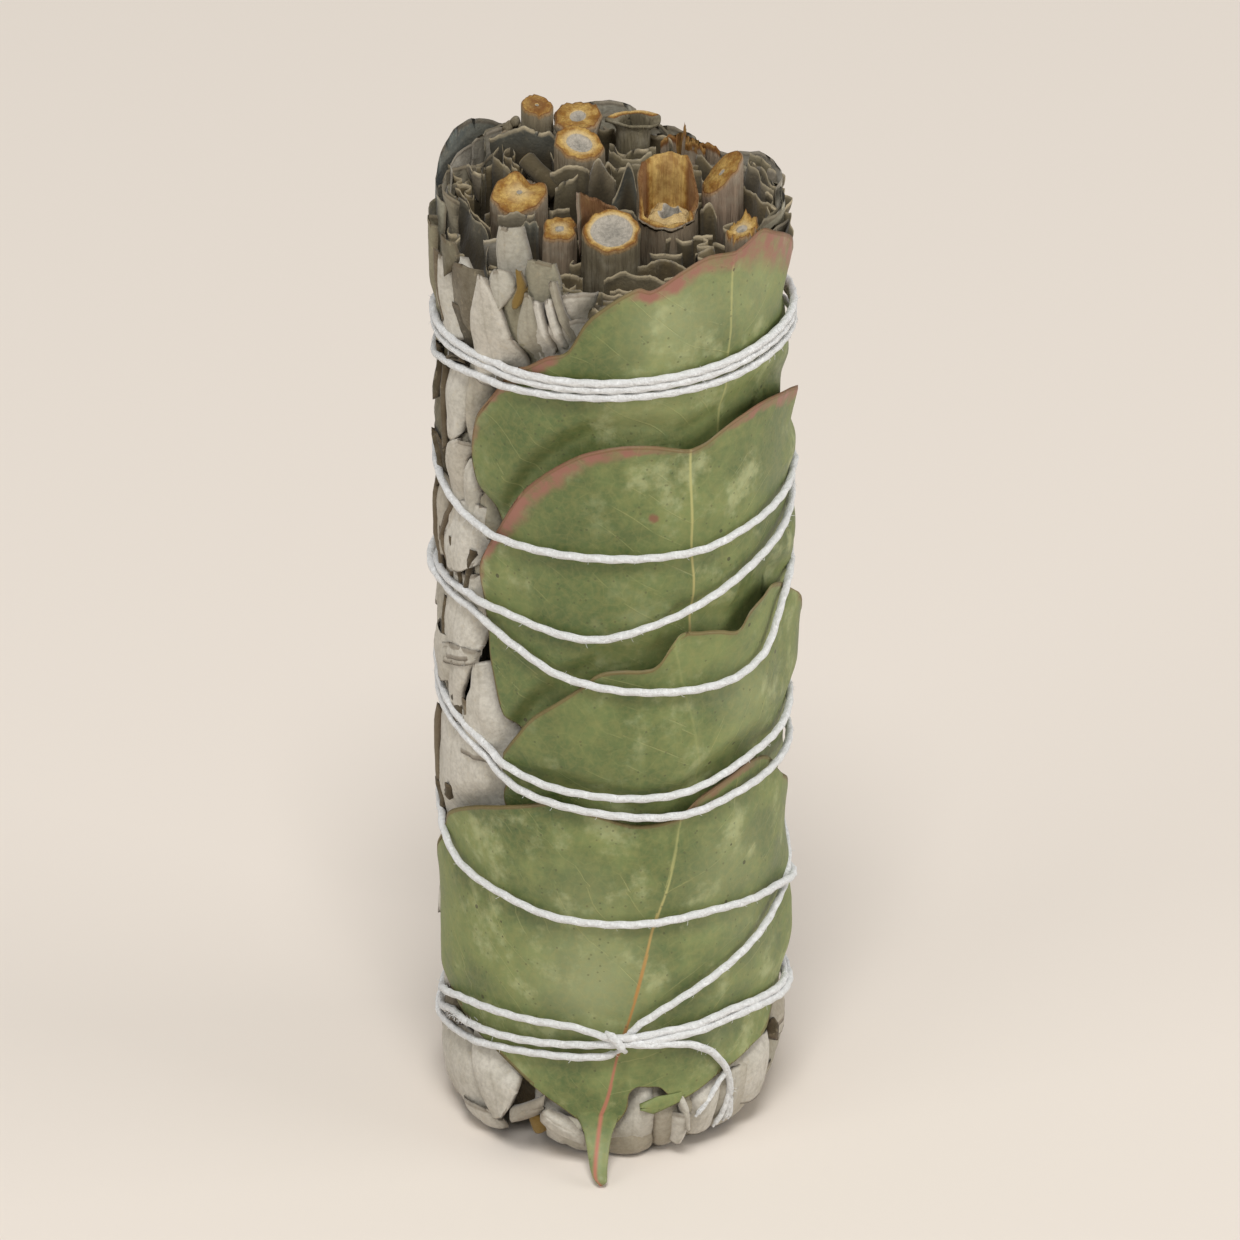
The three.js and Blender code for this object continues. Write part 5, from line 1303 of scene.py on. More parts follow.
def add_broken_stalk(bm):
    first, last = Vector(BROKEN_STALK["first"]), Vector(BROKEN_STALK["last"])
    run = (last - first).normalized()
    aside = run.cross(Vector((0, 0, 1))).normalized()
    over = aside.cross(run)
    rings, looks = [], []
    for k, (share, radius) in enumerate(STALK_SHAPE):
        spot = first + (last - first) * share
        rings.append([spot + (aside * math.cos(s * math.pi / 7) + over * math.sin(s * math.pi / 7)) * radius
                      for s in range(14)])
        looks.append((2, 1.4 if k < 2 else 0.36, 1))
    add_tube(bm, rings, looks)


def add_ends(bms, stems):
    """Adds all the standing leaves, each to the bmesh of its sprig."""
    for k, leaf in enumerate(STANDING_LEAVES):
        x, y = smooth_on(leaf["edge"], 0.5)[:2]
        columns = 8 + 5 * len(leaf["edge"])
        add_standing(bms[sprig_at(x, y)], seed=k * 2.9 + 700, columns=columns, **leaf)
    add_broken_stalk(bms[sprig_at(*BROKEN_STALK["first"][:2])])
    count = len(STANDING_LEAVES)
    rows = math.ceil(CORE_RADIUS / END_SPACING) + 1
    for i in range(-rows, rows + 1):
        for j in range(-rows, rows + 1):
            seed = i * 17.3 + j * 3.1 + 400
            x = (i + (j % 2) / 2) * END_SPACING + between(-0.7, 0.7, seed)
            y = j * END_SPACING * 0.87 + between(-0.7, 0.7, seed + 5)
            clear = all(math.hypot(sx - x, sy - y) > radius + 0.2 for sx, sy, radius in stems)
            if math.hypot(x, y) < CORE_RADIUS - 1.2 and clear:
                top = top_at(x, y) + between(-3.0, 0.2, seed + 7) - (0 if clear_of_leaves(x, y, 1.6) else 2.5)
                edge = rolled_edge(x, y, top, seed) if draw(seed + 2) < 0.55 else waved_edge(x, y, top, seed)
                lean = (between(-0.8, 0.8, seed + 8), between(-0.8, 0.8, seed + 9))
                add_standing(bms[sprig_at(x, y)], edge, seed, lean=lean, tone=between(0.14, 0.5, seed + 10))
                count += 1
    for ring, (radius, step, drop) in enumerate(RIM_RINGS):
        for angle in range(-180, 180, step):
            seed = ring * 50 + angle * 0.37 + 900
            turned = angle + between(-5, 5, seed)
            seat = around(turned, radius, 0)
            hidden = pressed(turned, 98) > 0.6 or -75 < turned < -15 and ring == 2 or -155 < turned < -92
            if not hidden and clear_of_leaves(seat.x, seat.y, 1.8):
                top = top_at(seat.x, seat.y) + drop + between(-1.6, 0.8, seed + 7)
                lean = Vector((seat.x, seat.y)).normalized() * between(-0.3, 0.9, seed + 8)
                place = radius + between(-0.3, 0.3, seed + 3)
                edge = rim_edge(turned, place, between(18, 36, seed + 4), top, seed)
                add_standing(bms[sprig_at(seat.x, seat.y)], edge, seed, lean=lean,
                             tone=between(0.2, 0.55, seed + 10))
                count += 1
    return count


print("standing leaves set one by one:", len(STANDING_LEAVES))

# %% [markdown]
# ### The finish of sage
# A fine felt covers the leaf. It scatters light softly, so the leaf gets a constant sheen, a fine
# bump and hardly any gloss. `look` carries the distance to the leaf's rim, its tone and whether it
# is a cut end: rims of cut ends are paler and thin, rims of laid leaves are browner and darkened by
# painted shade where they sink into the seams, cut ends are olive with painted shade that deepens
# below their top edge, and a few scraps are straw. The foot gets painted shade and a brown tint.

# %% Sage material
SAGE_PALE = (0.60, 0.567, 0.495, 1)
SAGE_GREY = (0.32, 0.29, 0.215, 1)
SAGE_GREEN = (0.235, 0.213, 0.135, 1)
SAGE_SLATE = (0.105, 0.125, 0.118, 1)
SAGE_DARK = (0.056, 0.042, 0.022, 1)
SAGE_OLIVE = (0.25, 0.185, 0.085, 1)
SAGE_TAN = (0.42, 0.34, 0.245, 1)
SAGE_STRAW = (0.21, 0.135, 0.036, 1)
SAGE_RIM = (0.49, 0.405, 0.265, 1)
SAGE_SHADE = (0.075, 0.05, 0.022, 1)
SAGE_SEAM = (0.12, 0.085, 0.05, 1)


def make_sage_material():
    coat = Finish("sage felt", SAGE_GREY, 0.95)
    laid, (rim, tone, cut) = coat.parts("laid"), coat.parts("look")
    pale = coat.mix(coat.step(tone, 0.35, 0.95), SAGE_GREEN, SAGE_PALE)
    coat.colour = coat.mix(coat.step(tone, 0.05, 0.4), SAGE_DARK, pale)
    own, own_too = (coat.node("ShaderNodeTexWhiteNoise", {"W": seed}, noise_dimensions="1D")["Value"]
                    for seed in (laid[2], coat.maths("ADD", laid[2], 0.5)))
    coat.over(SAGE_TAN, coat.step(own, 0.55, 0.95), 0.35)
    coat.over(SAGE_OLIVE, own, coat.times(cut, 0.85))
    coat.over(SAGE_DARK, own_too, coat.times(cut, 0.5))
    coat.over(SAGE_SLATE, coat.step(tone, -1, 0, 0.9, 0))
    coat.over(SAGE_GREY, coat.mottle(260, 5, 0.38, 0.68), 0.35)
    coat.over(SAGE_DARK, coat.mottle(1900, 5, 0.36, 0.68), 0.2)
    coat.over(SAGE_RIM, coat.mottle(1500, 4, 0.56, 0.7), 0.25)
    # a faint dark line along the middle of laid leaves: painted shade in the crease
    rib = coat.times(coat.line(laid[0], 0.22), 0.12)
    coat.over(SAGE_SEAM, rib, coat.step(cut, 0, 1, 1, 0))
    # painted shade over all the cut ends
    coat.over(SAGE_SHADE, cut, 0.4)
    on_top = coat.step(cut, 0.4, 0.6)
    worn = coat.times(coat.mottle(420, 3, 0.4, 0.62), on_top)
    # a band along the rim: pale on cut ends; on laid leaves brown, partly a dried margin and partly painted
    # shade where the edge sinks into the seam
    seam = coat.times(coat.step(rim, 0, 0.35, 1, 0), coat.maths("MULTIPLY_ADD", worn, 0.25, 0.55))
    coat.over(coat.mix(on_top, SAGE_SEAM, SAGE_RIM), seam)
    # painted shade: the cut ends darken further below their top edge, down in the gaps between them
    coat.over(SAGE_DARK, coat.step(rim, 0.3, 3.6), coat.times(cut, 0.93))
    # darker and browner towards the foot: painted shade near the floor, with a brown tint
    high = coat.node("ShaderNodeSeparateXYZ", {0: coat.seat})["Z"]
    coat.over(SAGE_SEAM, coat.step(high, 0.003, 0.012, 0.12, 0))
    coat.over(SAGE_STRAW, coat.step(tone, 1.1, 1.3))
    coat.skin["Sheen Weight"].default_value = 0.12
    coat.skin["Sheen Roughness"].default_value = 0.5
    coat.skin["Specular IOR Level"].default_value = 0.2
    return coat.done(coat.grain(3600, 1100, 0.5), 0.5, 0.0003)


SAGE = make_sage_material()

# %% [markdown]
# The packed body behind the leaves is a turned shape with lumps, made by `spin`. It only shows deep
# in the gaps, so it is painted dark as shade.

# %% Build the sage
BODY_PROFILE = [(0.01, 0.3), (11.8, 0.3), (13.6, 2.2), (14.4, 6), (CORE_RADIUS - 0.6, 12),
                (CORE_RADIUS - 0.6, 93), (0.01, 93)]
BODY_STEPS = 72


def spin_profile(bm, verts, steps, merge):
    """Turns a chain of points round the upright axis."""
    edges = [bm.edges.new(pair) for pair in zip(verts, verts[1:])]
    bmesh.ops.spin(bm, geom=verts + edges, cent=(0, 0, 0), axis=(0, 0, 1), angle=2 * math.pi,
                   steps=steps, use_merge=True)
    bmesh.ops.remove_doubles(bm, verts=bm.verts, dist=merge)


def add_packed_body(bm):
    profile = []
    for (r, z), (s, w) in zip(BODY_PROFILE, BODY_PROFILE[1:]):
        steps = max(1, round(math.hypot(s - r, w - z) / 2.5))
        profile += [(mix(r, s, k / steps), mix(z, w, k / steps)) for k in range(steps)]
    profile.append(BODY_PROFILE[-1])
    spin_profile(bm, [bm.verts.new((r, 0, z)) for r, z in profile], BODY_STEPS, 0.02)
    look = layers_of(bm)[1]
    for vert in bm.verts:
        turn = math.degrees(math.atan2(vert.co.x, -vert.co.y))
        lump = 1 + 0.03 * ripple(turn * 0.5, vert.co.z * 0.25, 3, 2)
        vert.co.x, vert.co.y = vert.co.x * lump, vert.co.y * lump
        if vert.co.z > 50:
            vert.co.z += TOP_SLOPE * vert.co.y * ramp(50, 93, vert.co.z)
        # a dark tone: painted shade deep in the gaps
        vert[look] = (3, 0.12, 0)


def build_sage(stems):
    bms = [new_bmesh() for _ in SPRIGS]
    laid_by_hand = STRIP_LEAVES + FOOT_LEAVES + [BROAD_LEAF] + [stalk_and_shade_sliver(*one) for one in STALK_AND_SHADE_SLIVERS]
    for k, leaf in enumerate(laid_by_hand):
        add_laid_leaf(bms[middle_sprig(leaf["left"], leaf["right"])], seed=k * 3.7 + 1, **leaf)
    for number, bm in enumerate(bms):
        for leaf in tile_leaves(number):
            add_laid_leaf(bm, **leaf)
    count = add_ends(bms, stems)
    print("standing leaves in all:", count)
    for number, bm in enumerate(bms):
        name = f"sprig_{number + 1:02d}_leaves"
        finish_piece(bm, name, SAGE, "sage_" + name)
    body = new_bmesh()
    add_packed_body(body)
    finish_piece(body, "packed_sage_body", SAGE)


STEM_ROOM = [(-7, 11.6, 1.5), (-3.5, 12.7, 1.85), (-3.3, 8.2, 2.3), (2, 12.2, 2.2), (-9.4, 2.2, 2.5),
             (-5.3, -3, 1.5), (0, -5.2, 2.7), (5.7, 0.6, 3.0), (11.2, 3.4, 1.9), (13.2, -1.9, 1.7),
             (-10.3, 8.5, 0.8), (7, 11, 1.5)]
build_sage(STEM_ROOM)

# %% [markdown]
# ## The cut stems
# Twelve sage stems end at the top. A clean cut shows three zones: bark outside, a ring of orange
# wood, and soft pale pith that has shrunk in. A turned profile gives all three at once: `spin`
# sweeps it round the stem, and every profile point carries its zone. Then points are moved: the
# cut is sloped, the bark gets ridges, and a broken stem gets torn fibres.

# %% Stems by size
STEM_FOOT = 62
BARK, WOOD, PITH = 0.0, 1.0, 2.0
STEM_TURNS = 48
CUT_DEPTH = 0.45
STEMS = [
    dict(at=(-7.7, 12.3), top=108.4, radius=1.5, cream=0.62, pith=0.2, slope=(-0.15, 0.45), ragged=0.3,
         bark=0.2, oval=0.12),
    dict(at=(-3.5, 12.7), top=107, radius=1.95, cream=1, pith=0.8, slope=(0.1, 0.35), ragged=0.5, bark=0.5,
         flare=0.3),
    dict(at=(-3.3, 8.2), top=106, radius=2.35, pith=1.3, slope=(-0.2, 0.42), ragged=0.3, bark=0.3,
         oval=0.1),
    None,
    dict(at=(-9.4, 2.2), top=103.2, radius=2.5, pith=0.3, slope=(0.12, 0.62), ragged=0.35, bark=0.5,
         oval=0.15, notch=1.5),
    dict(at=(-5.3, -3), top=101.4, radius=1.85, pith=0.5, slope=(0.05, 0.3), ragged=0.2, bark=0.55,
         square=0.22),
    dict(at=(0, -5.2), top=102.2, radius=2.8, pith=2.15, slope=(0, 0.45), ragged=0.26, bark=0.15,
         oval=0.06),
    dict(at=(5.7, 0.6), top=103.4, radius=3.05, pith=1, slope=(0.05, 0.25), ragged=0.6, bark=0.45,
         torn=4.4),
    dict(at=(11.2, 3.4), top=104.8, radius=2, cream=0.95, pith=0.3, slope=(0.95, 0.4), ragged=0.08,
         bark=0.85, oval=0.05),
    dict(at=(13.2, -1.9), top=100.9, radius=1.75, pith=0.6, slope=(0.3, 0.3), ragged=1.7, bark=0.5),
    None,
    None,
]


def stem_profile(stem):
    """Points (radius, height over the top, zone) of half a stem, from the foot over the cut to the middle."""
    radius, pith = stem["radius"], stem["pith"]
    length = stem["top"] - STEM_FOOT
    side = [(radius, -length + k * (length - 12) / 6, BARK) for k in range(7)]
    side += [(radius, -11 + k, BARK) for k in range(11)] + [(radius, -0.3, BARK), (radius - 0.14, -0.02, 0.6)]
    if "torn" in stem:
        wall = radius - 0.55
        return [(0.01, -length, BARK)] + side + [(wall + 0.1, 0, WOOD), (wall, -1, WOOD), (wall, -2.4, WOOD),
                (wall - 0.2, -3.0, 0.7), (wall - 0.5, -2.1, 1.2), (pith + 0.25, -1.9, 1.2),
                (pith, -2.05, 2.7), (pith, -4.5, 3.0), (0.01, -4.6, 3.0)]
    ring = [(mix(radius - 0.25, pith, k / 4), 0, mix(0.8, stem.get("cream", 1.2), k / 4)) for k in range(5)]
    pit = [(pith * 0.93, -0.12, 1.5), (pith * 0.85, -CUT_DEPTH, PITH), (pith * 0.5, -CUT_DEPTH * 0.8, 2.5),
           (0.01, -CUT_DEPTH, 3.0)]
    return [(0.01, -length, BARK)] + side + ring + pit


def rim_rise(stem, turn):
    """Height that a torn stem's wall keeps at a turn: high behind and at the left, low in front."""
    behind = math.sin(turn) + 0.35 * max(0.0, -math.cos(turn))
    return stem["torn"] * ramp(-0.1, 0.6, behind) - 1.6


def shape_stem(bm, stem, number):
    """Moves the turned points: ridges, oval or square section, torn fibres, the sloped cut."""
    laid, look = layers_of(bm)
    (sx, sy), radius = stem["slope"], stem["radius"]
    for vert in bm.verts:
        x, y, z = vert.co
        out, turn = math.hypot(x, y), math.atan2(y, x)
        share, look_zone = out / radius, vert[look].z
        near_cut = ramp(-1.2, -0.2, z)
        cx, cy = math.cos(turn), math.sin(turn)
        ridge = 0.035 * math.sin(turn * 9 + number) + 0.06 * ripple(cx * 3, cy * 3 + z * 0.05, number, 0.8)
        section = 1 + stem.get("oval", 0) * math.cos(2 * turn)
        section -= stem.get("square", 0) * math.cos(4 * turn) * 0.5
        section += ridge * ramp(0.6, 1, share) + 0.06 * ripple(turn, z * 0.4, number, 2)
        section += stem.get("flare", 0) * ramp(-3, 0, z) * share
        tear = 0.6 * ripple(cx * 2, cy * 2, number, 1) + 0.5 * ripple(cx * 9, cy * 9, number + 4, 1) * share
        lift = stem["ragged"] * tear * ramp(stem["pith"] * 0.9, radius, out) * near_cut
        lift += 0.05 * ripple(x * 6, y * 6, number, 1) * near_cut
        if "torn" in stem and out > radius - 0.7:
            lift += rim_rise(stem, turn) * ramp(-1.5, -0.2, z)
        if "torn" in stem and look_zone > 0.5:
            lift += 0.6 * ripple(x * 1.3, y * 1.3, number + 8, 1) * ramp(radius, radius - 0.8, out)
            x += 0.4 * ripple(x, y, number + 9, 1.2) + 0.35 * ramp(1.8, 0.8, out)
            y += 0.3 * ripple(y, x, number + 10, 1.2) + 0.5 * ramp(1.8, 0.8, out)
        if "notch" in stem:
            lift -= stem["notch"] * near_cut * math.exp(-math.hypot((x - 1.2) / 0.9, (y - 1.7) / 1.3) ** 2)
        lean = 0.25 * math.sin(z * 0.12 + number) * ramp(0, -12, z)
        vert[laid] = (turn * radius, z, number)
        if "torn" in stem and look_zone > 0.5 and out > radius - 0.75 and math.sin(turn) > -0.2:
            look_zone = mix(0.58, 1.0, ramp(0.5, 0.85, math.sin(turn)))
        vert[look] = (-z, stem["bark"], look_zone)
        sloped = ramp(-3.5, -0.5, z) * (sx * x + sy * y)
        vert.co = (x * section + lean, y * section, z + lift + sloped)


def add_round_stem(bm, stem, number):
    look = layers_of(bm)[1]
    verts = []
    for radius, height, zone in stem_profile(stem):
        vert = bm.verts.new((radius, 0, height))
        vert[look] = (0, 0, zone)
        verts.append(vert)
    spin_profile(bm, verts, STEM_TURNS, 0.015)
    shape_stem(bm, stem, number)
    bmesh.ops.translate(bm, vec=(*stem["at"], stem["top"]), verts=bm.verts)


print("whole stems:", sum(1 for stem in STEMS if stem))

# %% [markdown]
# Three stems are broken in their own way: one is split open like a small boat, one carries a
# cluster of dried buds, and one is a bundle of splinters. They are made of sheets and small balls.

# %% The odd stems
TROUGH = {"at": (2.2, 13.2), "top": 106.5, "radius": 1.75, "wrap": 359, "wall": 0.35}
BUDS = {"at": (-9.9, 13.0), "top": 105.4, "ball": 0.55}
BUD_PLACES = [(0, 0.6, 0.5), (0.7, 0.2, 0.1), (-0.8, 0.4, -0.1), (0.1, -0.5, -0.4), (-0.5, 0.9, 0),
              (1.2, -0.3, -0.6), (-1.0, -0.3, -0.7), (0.9, 0.9, -0.2), (0.5, -1.0, -1), (1.6, -1.1, -0.9)]
SPLINTERS = [(7.2, 13.4, -12, 4.8, 104.8), (9.6, 12.2, -28, 4.0, 104.2), (7.1, 12.4, 60, 0.9, 106.4),
             (8.4, 12.4, -20, 3.4, 104.4), (6.0, 12.8, 25, 2.4, 104.8)]
BARK_PLATE = {"angle": 212, "wrap": 82, "radius": 3.45, "low": 99, "high": 106.2}


def add_trough(bm):
    x, y = TROUGH["at"]

    def place(u, v):
        phi = math.radians(-80 + TROUGH["wrap"] * (u - 0.5))
        flare = ramp(0.72, 1, v)
        top = TROUGH["top"] + 0.35 * math.sin(phi) * math.cos(phi) + 0.2 * ripple(u * 10, 0, 8, 1.2)
        height = mix(STEM_FOOT, top, 1 - (1 - v) ** 2.4)
        size = TROUGH["radius"] + 0.9 * flare ** 2 + 0.12 * ripple(u * 8, v * 20, 2, 2)
        seat = (x + size * (1 + 0.08 * flare) * math.cos(phi),
                y + size * mix(1, 0.7, flare) * math.sin(phi), height)
        lip = 1.1 * ramp(0.82, 0.94, v) * ramp(0.1, 0.6, math.sin(phi))
        return seat, (phi * size, height - top, 4), (top - height + 0.5, 0.1, lip)

    add_sheet(bm, 36, 26, place, TROUGH["wall"])


def add_buds(bm):
    x, y = BUDS["at"]
    look = layers_of(bm)[1]
    stalk = dict(at=BUDS["at"], top=BUDS["top"] - 1, radius=0.75, pith=0.3, slope=(0, 0), ragged=0.1,
                 bark=0.3)
    add_round_stem(bm, stalk, 11)
    for k, (dx, dy, dz) in enumerate(BUD_PLACES):
        size = BUDS["ball"] * between(0.75, 1.1, k)
        ball = bmesh.ops.create_icosphere(bm, subdivisions=3, radius=size)["verts"]
        for vert in ball:
            vert.co *= 1 + 0.22 * ripple(vert.co.x * 3, vert.co.y * 3 + vert.co.z * 2, k, 1.2)
            vert[look] = (1.2, draw(k + 0.4) * 0.5, 0)
        bmesh.ops.translate(bm, vec=(x + dx, y + dy, BUDS["top"] + dz), verts=ball)


def add_splinters(bm):
    for k, (x, y, turn, width, top) in enumerate(SPLINTERS):
        run = Vector((math.cos(math.radians(turn)), math.sin(math.radians(turn))))

        def place(u, v):
            end = top + 0.5 * ripple(u * 6, k, 9, 1) - 0.7 * abs(2 * u - 1)
            height = mix(98 if k else STEM_FOOT, end, v)
            along = (u - 0.5) * width * mix(1, 0.75, v)
            bend = 0.5 * v * math.sin(k * 2.1) + 0.1 * ripple(u * 6, v * 4, k, 1)
            spot = Vector((x, y)) + run * along + Vector((-run.y, run.x)) * bend
            zone = mix(0.3, 0.75, ramp(0.75, 1, v))
            return (spot.x, spot.y, height), (along, height - end, k), (end - height, 0.6, zone)

        add_sheet(bm, 12, 16, place, 0.45)


def add_bark_plate(bm):
    """The dark scale of bark that stands off behind the widest stem."""
    x, y = STEMS[6]["at"]

    def place(u, v):
        phi = math.radians(BARK_PLATE["angle"] - 90 + BARK_PLATE["wrap"] * (0.5 - u))
        size = BARK_PLATE["radius"] + 0.3 * v + 0.15 * ripple(u * 4, v * 4, 5, 1)
        top = BARK_PLATE["high"] - 3.4 * u + 0.4 * ripple(u * 6, 0, 2, 1)
        height = mix(BARK_PLATE["low"], top, v)
        seat = (x + size * math.cos(phi), y + size * math.sin(phi), height)
        bark, zone = mix(0.9, 0.1, ramp(0.08, 0.16, u)), mix(0.57, 0, ramp(0.16, 0.08, u))
        return seat, (u * 4, v * 6, 7), (1.5, bark, zone)

    add_sheet(bm, 14, 12, place, 0.4)


print("splinters:", len(SPLINTERS), "buds:", len(BUD_PLACES))

# %% [markdown]
# ### The finish of a cut stem
# The bark is olive grey or pinkish, with fine lines along the stem, and painted shade darkens it
# further below the cut, where it sinks among the leaves. The wood is golden, darker and more orange
# towards the bark, and the pith is nearly white with a darker dotted middle. The zone travels in
# `look`, so that one material covers the whole stem.

# %% Stem material
BARK_OLIVE = (0.155, 0.135, 0.08, 1)
BARK_PINK = (0.37, 0.265, 0.19, 1)
BARK_DARK = (0.06, 0.045, 0.028, 1)
BARK_LIGHT = (0.42, 0.38, 0.29, 1)
WOOD_GOLD = (0.56, 0.36, 0.10, 1)
WOOD_CREAM = (0.66, 0.50, 0.25, 1)
WOOD_ORANGE = (0.29, 0.135, 0.018, 1)
WOOD_BROWN = (0.14, 0.05, 0.015, 1)
PITH_PALE = (0.48, 0.43, 0.355, 1)
PITH_GREY = (0.20, 0.185, 0.155, 1)


def make_stem_material():
    coat = Finish("sage stem", BARK_OLIVE, 0.7)
    depth, pink, zone = coat.parts("look")
    along = coat.node("ShaderNodeVectorMath", {0: coat.seat, 1: (1, 1, 0.06)}, operation="MULTIPLY")[0]
    lines = coat.mottle(2600, 3, 0.38, 0.66, Place=along)
    fibres = coat.mottle(3800, 2, 0.4, 0.62, Place=along)
    coat.over(BARK_PINK, pink)
    coat.over(BARK_DARK, lines, 0.34)
    coat.over(BARK_LIGHT, coat.mottle(500, 4, 0.45, 0.7), 0.35)
    # painted shade: the bark darkens further below the cut, down among the leaves
    coat.over(BARK_DARK, coat.step(depth, 2, 11), 0.75)
    coat.over(WOOD_ORANGE, coat.step(depth, 0.1, 0.45, 1, 0), 0.5)
    bark, coat.colour = coat.colour, WOOD_ORANGE
    coat.over(WOOD_GOLD, coat.mottle(900, 5, 0.36, 0.64))
    coat.over(WOOD_BROWN, fibres, 0.3)
    coat.over(WOOD_BROWN, coat.step(zone, 0.55, 0.98, 1, 0), 0.85)
    coat.over(WOOD_CREAM, coat.step(zone, 0.9, 1.25), 0.75)
    coat.colour = coat.mix(coat.step(zone, 0.42, 0.62), bark, coat.colour)
    dots = coat.times(coat.mottle(2300, 3, 0.36, 0.7), 0.45)
    pith = coat.mix(coat.maths("MULTIPLY_ADD", coat.step(zone, 2, 3), 0.5, dots), PITH_PALE, PITH_GREY)
    coat.over(pith, coat.step(zone, 1.25, 1.6))
    coat.skin["Specular IOR Level"].default_value = 0.3
    return coat.done(coat.maths("ADD", lines, coat.times(fibres, 0.6)), 0.5, 0.00022)


STEM = make_stem_material()
ODD_STEMS = {3: add_trough, 10: add_buds, 11: add_splinters}
for number, stem in enumerate(STEMS):
    bm = new_bmesh()
    if stem:
        add_round_stem(bm, stem, number)
        if number == 6:
            add_bark_plate(bm)
    else:
        ODD_STEMS[number](bm)
    name = f"stem_{number + 1:02d}"
    finish_piece(bm, name, STEM, "sage_" + name)

# %% [markdown]
# ## The twine
# Soft cotton twine of three loosely twisted yarns, about a millimetre thick. It lies on the leaves
# and rides over its own earlier turns where it crosses them. A tube with a three-lobed section that
# turns along the route shows the twist, and short loose fibres stand off it.

# %% The wound route
ON_LEAF, ON_SAGE = 18.58, 18.16
PILE = 0.68
CLIMB = 10
SAMPLE = 2
YARN_STEP = 0.36
YARN_SIDES = 12
YARN_RADIUS = 0.4
TWIST_PITCH = 2.6
LOBE = 0.10


def rest_radius(angle, height):
    base = mix(ON_SAGE, ON_LEAF, ramp(0.2, 0.9, pressed(angle, height)))
    return base - BARE_RADIUS + turned_in(height, BARE_RADIUS)


def wound_points():
    """Points of the wound twine; each strand rides over the earlier ones that it crosses."""
    first = ROUTE[0][0]
    count = math.floor((ROUTE[-1][0] - first) / SAMPLE)
    per_turn, reach = 360 // SAMPLE, math.ceil(CLIMB / SAMPLE)
    turns = [first + k * SAMPLE for k in range(count + 1)]
    heights = [twine_height(turn) for turn in turns]
    radii = [rest_radius(turn, height) for turn, height in zip(turns, heights)]
    for k in range(count + 1):
        for under in range(k - per_turn, -1, -per_turn):
            apart = abs(heights[k] - heights[under])
            if apart < PILE:
                over = radii[under] + math.sqrt(PILE ** 2 - apart ** 2)
                for near in range(max(0, k - reach), min(count, k + reach) + 1):
                    share = 1 - abs(near - k) / (reach + 1)
                    lifted = mix(radii[near], over, share * share * (3 - 2 * share))
                    if near > k - per_turn:
                        radii[near] = max(radii[near], lifted)
    smooth = [sum(radii[max(0, k - 1):k + 2]) / len(radii[max(0, k - 1):k + 2]) for k in range(count + 1)]
    return [around(turn, radius, height) for turn, radius, height in zip(turns, smooth, heights)]


def evenly(points, step):
    """A smooth line through points, read at even steps of its length."""
    fine = [Vector(smooth_on(points, k / (8 * (len(points) - 1)))) for k in range(8 * (len(points) - 1) + 1)]
    line, carried = [fine[0]], 0.0
    for a, b in zip(fine, fine[1:]):
        length = (b - a).length
        while carried + length >= step:
            a = a + (b - a).normalized() * (step - carried)
            length = (b - a).length
            line.append(a)
            carried = 0.0
        carried += length
    return line


def length_of(points):
    return sum((b - a).length for a, b in zip(points, points[1:]))


wound = wound_points()
print("wound twine:", round(length_of(wound) / 1000, 3), "m")

# %% [markdown]
# ### Yarn, knot and tail
# The tube is swept with its section turning, a little thicker and thinner along the way. The knot
# is a short wrap over the strands, and the tail comes out of it and frays at its end.

# %% Sweep the yarn
TAIL = [[3, 15.7, 0.4], [9, 15.3, 0.9], [17, 14.9, 0.6], [25, 14.2, 0.3], [32, 12.9, 0.2], [37, 11.2, 0.15],
        [41, 9.0, 0.15], [43, 6.8, 0.15], [43.8, 4.9, 0.2]]
FRAYS = [[[43.6, 5.4, 0.15], [43.8, 4.2, 0.2], [43.6, 3.0, 0.3], [43.0, 2.2, 0.4]],
         [[43.2, 6.6, 0.1], [42.4, 5.0, 0.15], [41.2, 3.4, 0.25], [38.7, 1.9, 0.4]],
         [[41, 9.4, 0.0], [37.5, 8.0, 0.1], [33.5, 6.4, 0.3], [28.5, 4.6, 0.5]],
         [[43.4, 5.6, 0.2], [44.6, 4.2, 0.3], [45.2, 3.0, 0.4], [45.0, 2.2, 0.5]]]
LEFT_WEB = [[-70, 12, 0.2], [-55, 13.6, 0.3], [-44, 14.6, 0.3]]
KNOT_WRAP = [[-1.8, 16.5, 0.2], [-0.6, 16.7, 0.9], [1.2, 16.1, 1.15], [3.0, 15.1, 1.1], [4.4, 14.3, 0.4]]


def add_yarn(bm, points, radius, seed):
    """A twisted tube along even points in space."""
    rings, looks = [], []
    for k, point in enumerate(points):
        run = (points[min(len(points) - 1, k + 1)] - points[max(0, k - 1)]).normalized()
        out = Vector((point.x, point.y, 0)).normalized()
        out = (out - run * out.dot(run)).normalized()
        aside = run.cross(out)
        travelled = k * YARN_STEP
        twist = 2 * math.pi * travelled / TWIST_PITCH
        size = radius * (1 + 0.07 * ripple(travelled, 0, seed, 4) + 0.03 * ripple(travelled, 0, seed + 1, 1))
        if k < 3 or k > len(points) - 4:
            size *= 0.55
        ring = []
        for s in range(YARN_SIDES):
            phi = 2 * math.pi * s / YARN_SIDES
            lobe = 1 + LOBE * math.cos(3 * phi - twist)
            ring.append(point + (out * math.cos(phi) + aside * math.sin(phi)) * size * lobe)
        rings.append(ring)
        looks.append((twist, travelled, 0))
    add_tube(bm, rings, looks)


def laid_points(route):
    """Points over the leaves from [angle, height, rise over the resting strand]."""
    return [around(angle, rest_radius(angle, height) + rise, height) for angle, height, rise in route]


